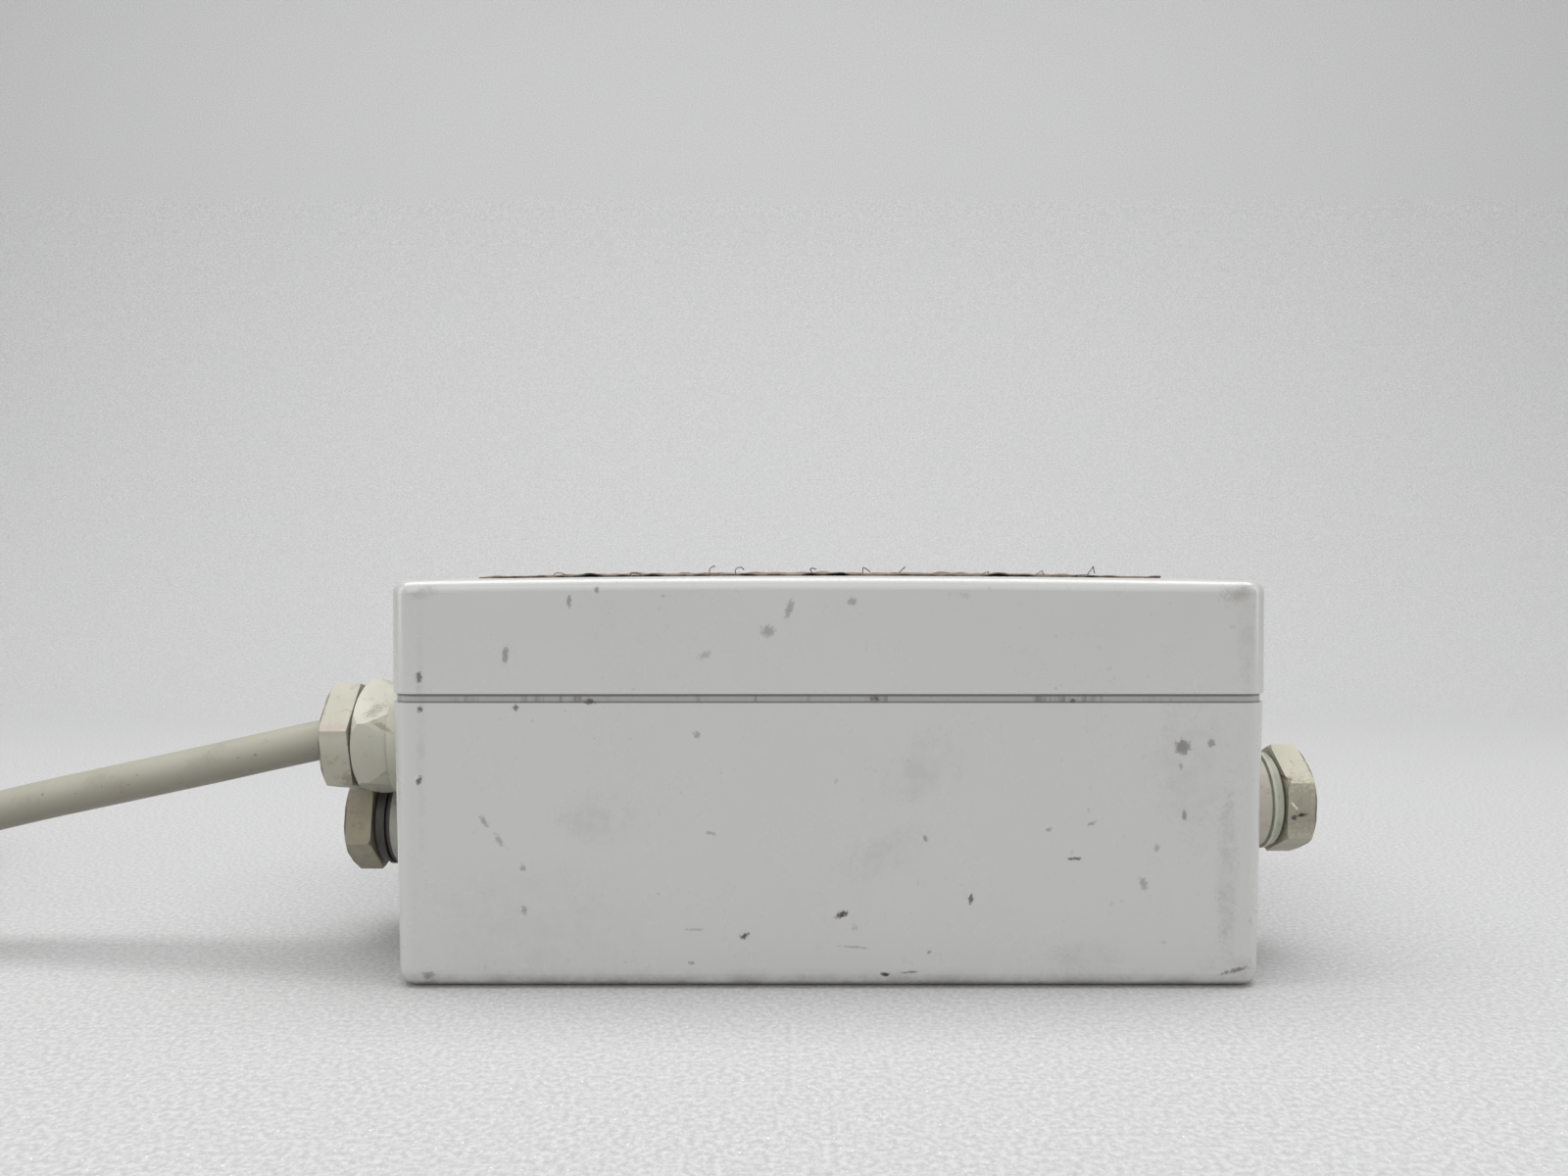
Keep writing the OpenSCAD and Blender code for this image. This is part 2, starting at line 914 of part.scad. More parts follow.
module fuse_holder() {
    color("black")
        on_board(fuse_at) {
            translate([-13, -4.5, 0])
                cube([26, 9, 2.5]);
            for (x = [-1, 1])
                translate([x * (fuse_len - fuse_cap_len) / 2, 0, 0])
                    difference() {
                        translate([-2, -3.6, 2.4])
                            cube([4, 7.2, 6.6]);
                        translate([-3, 0, fuse_z])
                            rotate([0, 90, 0])
                                cylinder(h = 6, r = fuse_r + 0.03);
                        translate([-3, -1.6, fuse_z])
                            cube([6, 3.2, 4]);
                    }
        }
}

module fuse_tube() {
    color("lightcyan")
        on_board(fuse_at)
            translate([-(fuse_len / 2 - fuse_cap_len), 0, fuse_z])
                rotate([0, 90, 0])
                    cylinder(h = fuse_len - 2 * fuse_cap_len, r = fuse_r - 0.2);
}

module fuse_caps() {
    color("silver")
        on_board(fuse_at)
            for (x = [-fuse_len / 2, fuse_len / 2 - fuse_cap_len])
                translate([x, 0, fuse_z])
                    rotate([0, 90, 0])
                        cylinder(h = fuse_cap_len, r = fuse_r);
}

// ---------- switches and adjusters ----------

module dip_switch_body() {
    color("firebrick")
        on_board(dip_at)
            difference() {
                translate([-6, -4.9, 0])
                    cube([12, 9.8, dip_h]);
                for (k = [0 : 3])
                    translate([(k - 1.5) * lever_pitch - slot_w / 2, -slot_l / 2, dip_h - 2])
                        cube([slot_w, slot_l, 3]);
            }
}

module dip_lever(k) {
    color("white")
        on_board(dip_at)
            translate([(k - 2.5) * lever_pitch - lever_w / 2, -slot_l / 2 + lever_gap, dip_h - 1.9])
                cube([lever_w, lever_l, 2.5]);
}

module dip_lever_1() {
    dip_lever(1);
}

module dip_lever_2() {
    dip_lever(2);
}

module dip_lever_3() {
    dip_lever(3);
}

module dip_lever_4() {
    dip_lever(4);
}

// A dual-row chip on legs.
module controller_chip() {
    legs = 14;
    leg_pitch = 2.54;
    color("black")
        on_board(chip_at) {
            difference() {
                translate([-18, -3.6, 0.8])
                    cube([36, 7.2, 3.4]);
                translate([-18, 0, 3.7])
                    cylinder(h = 1, r = 1.2);
            }
            for (k = [0 : legs - 1], y = [-4, 3.5])
                translate([(k - (legs - 1) / 2) * leg_pitch - 0.4, y, 0])
                    cube([0.8, 0.5, 2.4]);
        }
}

module button_housings() {
    color("dimgray")
        for (at = button_at)
            on_board(at)
                difference() {
                    translate([-button_w / 2, -button_w / 2, 0])
                        cube([button_w, button_w, button_h]);
                    translate([0, 0, 0.6])
                        cylinder(h = button_h, r = cap_r + moving_gap);
                }
}

// A button's cap, which stands clear of its housing's floor by a little more than its travel.
module button_cap(k) {
    on_board(button_at[k])
        translate([0, 0, 0.6 + button_travel + 0.2])
            cylinder(h = 4, r = cap_r);
}

module open_button() {
    color("green")
        button_cap(0);
}

module stop_button() {
    color("red")
        button_cap(1);
}

module close_button() {
    color("gold")
        button_cap(2);
}

module learn_button() {
    color("black")
        button_cap(3);
}

module trimmer_housings() {
    color("blue")
        for (at = trimmer_at)
            on_board(at)
                difference() {
                    translate([-trimmer_w / 2, -trimmer_w / 2, 0])
                        cube([trimmer_w, trimmer_w, trimmer_h]);
                    translate([0, 0, trimmer_h - 1.6])
                        cylinder(h = 3, r = rotor_r + moving_gap);
                }
}

module trimmer_rotor(k) {
    color("white")
        on_board(trimmer_at[k])
            translate([0, 0, trimmer_h - 1.5])
                difference() {
                    cylinder(h = 2, r = rotor_r);
                    translate([-0.4, -rotor_r - 1, 1])
                        cube([0.8, 2 * rotor_r + 2, 2]);
                    translate([-rotor_r / 2, -0.4, 1])
                        cube([rotor_r / 2, 0.8, 2]);
                }
}

module force_trimmer() {
    trimmer_rotor(0);
}

module time_trimmer() {
    trimmer_rotor(1);
}

module status_leds() {
    led_r = 1.5;
    led_h = 3.4;
    color("red")
        for (at = led_at)
            on_board(at) {
                cylinder(h = 1, r = led_r + 0.4);
                cylinder(h = led_h, r = led_r);
                translate([0, 0, led_h])
                    sphere(led_r);
            }
}

// ---------- radio receiver ----------

module radio_board() {
    color("darkgreen")
        on_board(radio_at) {
            translate([-16, -0.6, 1.5])
                cube([32, 1.2, 15]);
            for (k = [0 : 7])
                translate([(k - 3.5) * 2.54 - 0.3, -0.3, 0])
                    cube([0.6, 0.6, 2]);
        }
}

module radio_can() {
    color("silver")
        on_board(radio_at)
            translate([-2, -3.6, 5])
                cube([12, 3, 9]);
}

// A straight sleeved wire on a small foot.
module antenna_wire() {
    color("black")
        on_board(antenna_at) {
            cylinder(h = 2, r = 1.8);
            cylinder(h = 34, r = 0.8);
        }
}

// ---------- mains lead ----------

module cable_jacket_end() {
    color("gray")
        translate([mouth_x, cable_gland_at[0], cable_gland_at[1]])
            rotate([0, 90, 0])
                cylinder(h = jacket_end_x - mouth_x, r = cable_r);
}

// A stripped core from the jacket's end to its terminal, which it enters from the front.
module core(k) {
    turn = core_start_turn[k];
    start = [
        jacket_end_x + core_gap, cable_gland_at[0] + 2.4 * cos(turn),
        cable_gland_at[1] + 2.4 * sin(turn)
    ];
    port = [mains_at[0] + (k + 0.5) * mains_pitch, mains_at[1], board_top + 4.5];
    tube(spline([
            start, start + [4, 0, 0], core_fan[k], core_drop[k],
            port + [-1, -6.2, 10], port + [0, -6, 3.5], port + [0, -5, 1], port + [0, -2.5, 0],
            port + [0, 2, 0]
        ], 5), core_r, 8, [1, 1, 1]);
}

module core_brown() {
    color("saddlebrown")
        core(0);
}

module core_blue() {
    color("dodgerblue")
        core(1);
}

module core_earth() {
    color("yellowgreen")
        core(2);
}

module power_cable() {
    color("gray") {
        tube(spline(cable_route, 2), cable_r);
        tube([for (t = [0 : 5])
                tail_start + tail_way * (tail_reach + t / 5 * (tail_straight - tail_reach))
                    + [0, 0, tail_rise * (0.5 - 0.5 * cos(36 * t))]], cable_r);
    }
}

// The outer shape of the coiled length.
module cable_coil() {
    reach = cable_r + coil_clear;
    in_r = coil_mid_d / 2 - coil_turns * cable_d / 2 - reach;
    out_r = coil_out_r + reach;
    height = coil_turns * cable_d + coil_clear;
    bevel = 3;
    color("gray")
        translate([coil_at[0], coil_at[1], 0])
            rotate_extrude()
                polygon([
                    [in_r + bevel, 0], [out_r - bevel, 0], [out_r, bevel],
                    [out_r, height - bevel], [out_r - bevel, height],
                    [in_r + bevel, height], [in_r, height - bevel], [in_r, bevel]
                ]);
}

// Puts a part drawn along +Z at the end of the tail.
module on_tail(reach) {
    translate(tail_start + tail_way * reach + [0, 0, tail_rise])
        rotate([0, -90, 0])
            children();
}

module plug_body() {
    color("gray")
        on_tail(tail_straight)
            rotate_extrude()
                polygon([
                    [0, 0], [cable_r + 0.8, 0], [cable_r + 1.6, relief_len - 3],
                    [cable_r + 4, relief_len], [plug_r - 5, relief_len + 5],
                    [plug_r - 1, relief_len + 9], [plug_r, relief_len + 13],
                    [plug_r, relief_len + plug_len - 2], [plug_r - 1, relief_len + plug_len],
                    [0, relief_len + plug_len]
                ]);
}

module plug_pins() {
    color("gold")
        on_tail(tail_straight + relief_len + plug_len)
            for (y = [-pin_gap / 2, pin_gap / 2])
                translate([0, y, 0])
                    rotate_extrude()
                        polygon([
                            [0, 0], [pin_r, 0], [pin_r, pin_len - 1.5], [pin_r - 1.5, pin_len],
                            [0, pin_len]
                        ]);
}

enclosure_base();
lid();
lid_gasket();
lid_screws();
lid_label();
cable_gland_body();
cable_gland_nut();
cable_gland_ring();
cable_gland_seal();
left_gland_body();
left_gland_nut();
left_gland_ring();
left_gland_seal();
right_gland_body();
right_gland_nut();
right_gland_ring();
right_gland_seal();
gland_washers();
gland_locknuts();
circuit_board();
board_standoffs();
board_screws();
transformer_core();
transformer_bobbin();
transformer_winding();
filter_capacitors();
relays();
mains_terminals();
motor_terminals();
control_terminals();
terminal_screws();
fuse_holder();
fuse_tube();
fuse_caps();
dip_switch_body();
dip_lever_1();
dip_lever_2();
dip_lever_3();
dip_lever_4();
controller_chip();
button_housings();
open_button();
stop_button();
close_button();
learn_button();
trimmer_housings();
force_trimmer();
time_trimmer();
status_leds();
radio_board();
radio_can();
antenna_wire();
cable_jacket_end();
core_brown();
core_blue();
core_earth();
power_cable();
cable_coil();
plug_body();
plug_pins();
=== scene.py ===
"""The looks of a garage door opener's control box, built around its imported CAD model.

The object's lengths are in millimetres, and MM turns them into Blender's metres. The floor and
the lights are in metres. X is to the right, Y to the back and Z up. The front of the box looks
along -Y.
"""

import math

import bmesh
import bpy
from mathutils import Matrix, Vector, noise


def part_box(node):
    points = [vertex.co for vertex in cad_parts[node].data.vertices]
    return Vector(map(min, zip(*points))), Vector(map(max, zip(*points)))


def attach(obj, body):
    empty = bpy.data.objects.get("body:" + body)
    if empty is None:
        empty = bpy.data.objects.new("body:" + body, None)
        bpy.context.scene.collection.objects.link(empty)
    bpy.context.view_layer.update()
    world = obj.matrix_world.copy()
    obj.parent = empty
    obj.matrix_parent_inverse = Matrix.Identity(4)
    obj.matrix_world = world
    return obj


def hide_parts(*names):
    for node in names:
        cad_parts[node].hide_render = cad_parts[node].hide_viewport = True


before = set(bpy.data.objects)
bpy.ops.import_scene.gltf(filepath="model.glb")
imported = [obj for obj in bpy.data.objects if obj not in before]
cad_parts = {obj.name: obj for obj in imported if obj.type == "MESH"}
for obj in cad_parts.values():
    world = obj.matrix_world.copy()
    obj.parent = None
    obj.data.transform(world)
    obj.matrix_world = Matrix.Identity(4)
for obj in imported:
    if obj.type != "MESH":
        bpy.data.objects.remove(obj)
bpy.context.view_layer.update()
MM = 0.001


def box_mm(node):
    """The lowest and highest corner of a CAD node, in millimetres."""
    return [[round(c / MM, 3) for c in corner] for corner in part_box(node)]


# ---------- camera ----------

CAMERA_AT = (-10.4 * MM, -319.6 * MM, 97.8 * MM)
CAMERA_PITCH = math.radians(-1.0)
CAMERA_LENS = 25.9


def make_camera():
    """In front of the box, about level with its top."""
    data = bpy.data.cameras.new("camera")
    data.lens = CAMERA_LENS
    data.sensor_width = 36
    data.clip_start = 0.01
    camera = bpy.data.objects.new("camera", data)
    camera.location = CAMERA_AT
    camera.rotation_euler = (math.pi / 2 + CAMERA_PITCH, 0, 0)
    bpy.context.scene.collection.objects.link(camera)
    bpy.context.scene.camera = camera


make_camera()


# ---------- mains lead ----------

CABLE_D = 10
MOUTH = (-123, -35, 55.3)
ROUTE = [
    MOUTH, (-130, -35, 53.9), (-140, -34.6, 51.7), (-155, -33.9, 48.3),
    (-170, -33, 45), (-185, -31.9, 41.7), (-200, -31, 38.4), (-215, -30.8, 34.8),
    (-230, -31.4, 30.6), (-245, -33, 25.6), (-260, -35.6, 20.2), (-275, -38.8, 14.8),
    (-290, -42, 10), (-305, -44.8, 6.8), (-318, -46.8, 5.3), (-330, -47.8, 5),
]
COIL_AT = (-335, 12.2)
COIL_OUT_R = 60.2
COIL_IN_R = 39.8
COIL_TURNS = 4
FLOOR_TURNS = 2             # how many of the turns lie on the floor, under the others
CLIMB_TURNS = 1 / 6         # how much of a turn the climb between them takes
TAIL_R = 57
TAIL_Z = 15.1
TAIL_RISE = 4
TAIL_LENGTH = 44
TAIL_STEPS = 5


def coil_point(turn, r, z):
    """A point on the coil, with turn in radians from its front, clockwise seen from above."""
    return (COIL_AT[0] - r * math.sin(turn), COIL_AT[1] - r * math.cos(turn), z)


def coil_points(per_turn=20):
    """Two turns inwards on the floor, a climb, then two turns outwards on top of them."""
    floor_end = 2 * math.pi * FLOOR_TURNS
    climb_end = floor_end + 2 * math.pi * CLIMB_TURNS
    end = 2 * math.pi * COIL_TURNS
    points = []
    for k in range(COIL_TURNS * per_turn):
        turn = 2 * math.pi * k / per_turn
        if turn <= floor_end:
            r = COIL_OUT_R + (COIL_IN_R - COIL_OUT_R) * turn / floor_end
            z = CABLE_D / 2
        else:
            t = min(1, (turn - floor_end) / (climb_end - floor_end))
            z = CABLE_D / 2 + (TAIL_Z - CABLE_D / 2) * t * t * (3 - 2 * t)
            out = max(0, turn - climb_end) / (end - climb_end)
            r = COIL_IN_R + (TAIL_R - COIL_IN_R) * out
        points.append(coil_point(turn, r, z))
    return points


def tail_points():
    """From the coil straight to the plug, rising a little to the plug's middle."""
    x, y, z = coil_point(0, TAIL_R, TAIL_Z)
    points = []
    for k in range(TAIL_STEPS + 1):
        t = k / TAIL_STEPS
        rise = TAIL_RISE * (0.5 - 0.5 * math.cos(math.pi * t))
        points.append((x - TAIL_LENGTH * t, y, z + rise))
    return points


def smooth(points, steps=8):
    """Points on a smooth line through points in millimetres, steps to a stretch."""
    ends = [2 * Vector(points[0]) - Vector(points[1]), *map(Vector, points),
            2 * Vector(points[-1]) - Vector(points[-2])]
    line = []
    for p0, p1, p2, p3 in zip(ends, ends[1:], ends[2:], ends[3:]):
        for k in range(steps):
            t = k / steps
            line.append(0.5 * (2 * p1 + (p2 - p0) * t + (2 * p0 - 5 * p1 + 4 * p2 - p3) * t ** 2
                               + (3 * p1 - p0 - 3 * p2 + p3) * t ** 3))
    return line + [Vector(points[-1])]


def add_tube(bm, line, radius, sides):
    """A closed round tube along a line in millimetres, with its rings turned as little as can be."""
    across = None
    rings = []
    for k, point in enumerate(line):
        way = (line[min(k + 1, len(line) - 1)] - line[max(k - 1, 0)]).normalized()
        if across is None:
            across = way.orthogonal()
        across = (across - way * across.dot(way)).normalized()
        other = way.cross(across)
        ring = []
        for n in range(sides):
            a = 2 * math.pi * n / sides
            spoke = math.cos(a) * across + math.sin(a) * other
            ring.append(bm.verts.new((point + radius * spoke) * MM))
        rings.append(ring)
    for low, high in zip(rings, rings[1:]):
        for n in range(sides):
            m = (n + 1) % sides
            bm.faces.new((low[n], low[m], high[m], high[n]))
    bm.faces.new(rings[0][::-1])
    bm.faces.new(rings[-1])


def make_tubes(name, lines, radius, sides):
    """One object that holds a round tube along each of the lines."""
    mesh = bpy.data.meshes.new(name)
    bm = bmesh.new()
    for line in lines:
        add_tube(bm, line, radius, sides)
    bm.to_mesh(mesh)
    bm.free()
    for polygon in mesh.polygons:
        polygon.use_smooth = len(polygon.vertices) == 4
    piece = bpy.data.objects.new(name, mesh)
    bpy.context.scene.collection.objects.link(piece)
    return piece


cable_line = smooth(ROUTE + coil_points() + tail_points())
cable = make_tubes("mains_lead", [cable_line], CABLE_D / 2, 20)
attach(cable, "enclosure")
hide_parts("power_cable", "cable_coil")


# ---------- tie round the coil ----------

TIE_TURN = math.pi          # at the coil's back
TIE_REACH = (37.6, 60.4)    # from and to, measured from the coil's middle
TIE_FOOT = 1.1
TIE_TOP = 20.4
TIE_CORNER = 4.2
TIE_STEPS = 5               # in each corner's arc
TIE_WIDTH = 7
TIE_THICK = 0.9


def tie_section(grow):
    """The closed loop (distance from the coil's middle, height) of the strap, grown outwards."""
    near, far = TIE_REACH[0] + TIE_CORNER, TIE_REACH[1] - TIE_CORNER
    low, high = TIE_FOOT + TIE_CORNER, TIE_TOP - TIE_CORNER
    radius = TIE_CORNER + grow
    loop = []
    for cx, cz, start in ((far, high, 0), (near, high, 90), (near, low, 180), (far, low, 270)):
        for k in range(TIE_STEPS + 1):
            a = math.radians(start + 90 * k / TIE_STEPS)
            loop.append((cx + radius * math.cos(a), cz + radius * math.sin(a)))
    return loop


def make_tie():
    """A flat strap round all of the coil's turns, at one place."""
    mesh = bpy.data.meshes.new("coil_tie")
    bm = bmesh.new()
    rings = []
    for grow in (0, TIE_THICK):
        for side in (-TIE_WIDTH / 2, TIE_WIDTH / 2):
            ring = []
            for r, z in tie_section(grow):
                x, y, z = coil_point(TIE_TURN, r, z)
                ring.append(bm.verts.new(Vector((x + side, y, z)) * MM))
            rings.append(ring)
    count = len(rings[0])
    for a, b in ((0, 1), (1, 3), (3, 2), (2, 0)):
        for k in range(count):
            m = (k + 1) % count
            bm.faces.new((rings[a][k], rings[a][m], rings[b][m], rings[b][k]))
    bmesh.ops.recalc_face_normals(bm, faces=bm.faces)
    bm.to_mesh(mesh)
    bm.free()
    tie = bpy.data.objects.new("coil_tie", mesh)
    bpy.context.scene.collection.objects.link(tie)
    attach(tie, "enclosure")
    return tie


tie = make_tie()


# ---------- crowned lid ----------

(_, _, LID_Z), (HALF_W, _, TOP_Z) = box_mm("lid")
CROWN = 1.0
CUT_PITCH = 10              # the lid is cut across this often, so that its top can bend


def crown(x):
    """How far the lid's top stands above its ends, at x."""
    return CROWN * (1 - (x / HALF_W) ** 2)


def make_lid():
    """The lid as moulded: its top is higher in the middle than at its ends."""
    bm = bmesh.new()
    bm.from_mesh(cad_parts["lid"].data)
    cuts = int(HALF_W / CUT_PITCH) - 1
    for k in range(-cuts, cuts + 1):
        bmesh.ops.bisect_plane(bm, geom=bm.verts[:] + bm.edges[:] + bm.faces[:],
                               plane_co=(k * CUT_PITCH * MM, 0, 0), plane_no=(1, 0, 0), dist=1e-7)
    for vert in bm.verts:
        share = max(0, (vert.co.z / MM - LID_Z) / (TOP_Z - LID_Z))
        vert.co.z += crown(vert.co.x / MM) * share * MM
    mesh = bpy.data.meshes.new("lid_shell")
    bm.to_mesh(mesh)
    bm.free()
    for polygon in mesh.polygons:
        polygon.use_smooth = True
    mesh.set_sharp_from_angle(angle=math.radians(30))
    shell = bpy.data.objects.new("lid_shell", mesh)
    bpy.context.scene.collection.objects.link(shell)
    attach(shell, "lid")
    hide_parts("lid")
    return shell


lid_shell = make_lid()


# ---------- torn label ----------

LABEL_X = (-84.8, 81.7)
LABEL_Y = 47.6
LABEL_CELLS = (150, 72)     # along X and along Y
END_RAGGED = 0.5            # how far the label's ends wander, on average
SIDE_RAGGED = 0.6           # and its front and back edges
BLISTER_REACH = 9           # how far in from the front and back edges the film has lifted
LABEL_GAP = 0.06            # between the lid and the film where it lies flat
FILM = 0.28                 # how thick the film is
FIBRE_R = 0.13
FIBRE_STEPS = 5
# Each fibre's place along the front edge, its height and how far it leans
FIBRES = [(-28.0, 2.2, 0.4), (-22.0, 1.9, 1.4), (-66.0, 0.9, 2.4), (8.0, 1.7, 2.2),
          (17.6, 2.0, 1.2), (50.0, 1.1, 3.0), (62.6, 2.4, 2.6), (-48.0, 0.8, 3.2),
          (-4.0, 1.2, 1.0), (37.0, 0.9, 2.6)]


def wave(x, y, seed):
    """A smooth repeatable unevenness between -1 and 1."""
    return (math.sin(x * 0.31 + seed) + math.sin(x * 0.83 + y * 0.21 + seed * 2.3)
            + math.sin(y * 0.47 - x * 0.13 + seed * 4.1)) / 3


def label_height(x, y):
    """The film's underside: on the lid, and lifted a little in blisters along its torn edges."""
    edge = min(1, max(0, (abs(y) - LABEL_Y + BLISTER_REACH) / BLISTER_REACH))
    lift = max(0, wave(x, y, 1.0)) * 0.75 * edge + max(0, wave(x, y, 5.0) - 0.45) * 0.5
    return TOP_Z + crown(x) + LABEL_GAP + lift


def torn_away(x, y):
    """Whether the film is gone at a point: ragged patches, most of them near its edges."""
    ragged = noise.fractal(Vector((x * 0.07, y * 0.07, 2.7)), 0.8, 2.1, 5)
    edge = min(x - LABEL_X[0], LABEL_X[1] - x, LABEL_Y - abs(y))
    return edge > 1 and ragged > 0.36 + 0.012 * edge


def label_corner(i, j):
    """Where corner (i, j) of the film's grid lies. Its outer edges are a little ragged."""
    wide, deep = LABEL_CELLS
    x = LABEL_X[0] + (LABEL_X[1] - LABEL_X[0]) * i / wide
    y = -LABEL_Y + 2 * LABEL_Y * j / deep
    if j in (0, deep):
        y -= math.copysign(SIDE_RAGGED + SIDE_RAGGED * wave(x * 3, 0, 2.0 + j), y)
    if i in (0, wide):
        x -= math.copysign(END_RAGGED + END_RAGGED * wave(0, y * 3, 3.0 + i), x)
    return Vector((x, y, label_height(x, y)))


def label_grid(bm):
    """The underside and the top vertex at each corner of the grid."""
    wide, deep = LABEL_CELLS
    up = Vector((0, 0, FILM))
    grid = []
    for i in range(wide + 1):
        column = []
        for j in range(deep + 1):
            place = label_corner(i, j)
            column.append((bm.verts.new(place * MM), bm.verts.new((place + up) * MM)))
        grid.append(column)
    return grid


def film_cells(grid):
    """The cells of the grid that aren't torn away, as (i, j)."""
    wide, deep = LABEL_CELLS
    cells = set()
    for i in range(wide):
        for j in range(deep):
            middle = (grid[i][j][0].co + grid[i + 1][j + 1][0].co) / (2 * MM)
            if not torn_away(middle.x, middle.y):
                cells.add((i, j))
    return cells


def make_label():
    """The film, closed all round: each cell has a top and an underside, and walls at tears."""
    mesh = bpy.data.meshes.new("label_remnant")
    bm = bmesh.new()
    grid = label_grid(bm)
    cells = film_cells(grid)
    for i, j in sorted(cells):
        corners = (grid[i][j], grid[i + 1][j], grid[i + 1][j + 1], grid[i][j + 1])
        bm.faces.new([top for low, top in corners])
        bm.faces.new([low for low, top in corners][::-1])
        for k, beyond in enumerate(((i, j - 1), (i + 1, j), (i, j + 1), (i - 1, j))):
            if beyond not in cells:
                (low_a, top_a), (low_b, top_b) = corners[k], corners[(k + 1) % 4]
                bm.faces.new((low_a, low_b, top_b, top_a))
    bmesh.ops.delete(bm, geom=[v for v in bm.verts if not v.link_faces], context="VERTS")
    bm.to_mesh(mesh)
    bm.free()
    label = bpy.data.objects.new("label_remnant", mesh)
    bpy.context.scene.collection.objects.link(label)
    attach(label, "lid")
    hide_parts("lid_label")
    return label


def make_fibres():
    """Thin fibres and loops that stand up from the label's torn front edge."""
    lines = []
    for at, height, lean in FIBRES:
        foot = label_height(at, -LABEL_Y) + FILM / 2
        points = []
        for k in range(FIBRE_STEPS + 1):
            t = k / FIBRE_STEPS
            points.append((at + lean * t + 0.5 * math.sin(5 * t + at), -LABEL_Y + 0.8 * t,
                           foot + height * math.sin(math.pi * min(1, t * (0.6 + 0.12 * lean)))))
        lines.append(smooth(points, 4))
    fibres = make_tubes("label_fibres", lines, FIBRE_R, 6)
    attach(fibres, "lid")
    return fibres


label = make_label()
fibres = make_fibres()


# ---------- materials ----------

MARK_GROW = 1.4    # a mark fades towards its edge, so it is drawn this much larger


def as_color(value):
    """A node's output as it is, and a plain colour with its alpha."""
    return value if isinstance(value, bpy.types.NodeSocket) else (*value, 1)


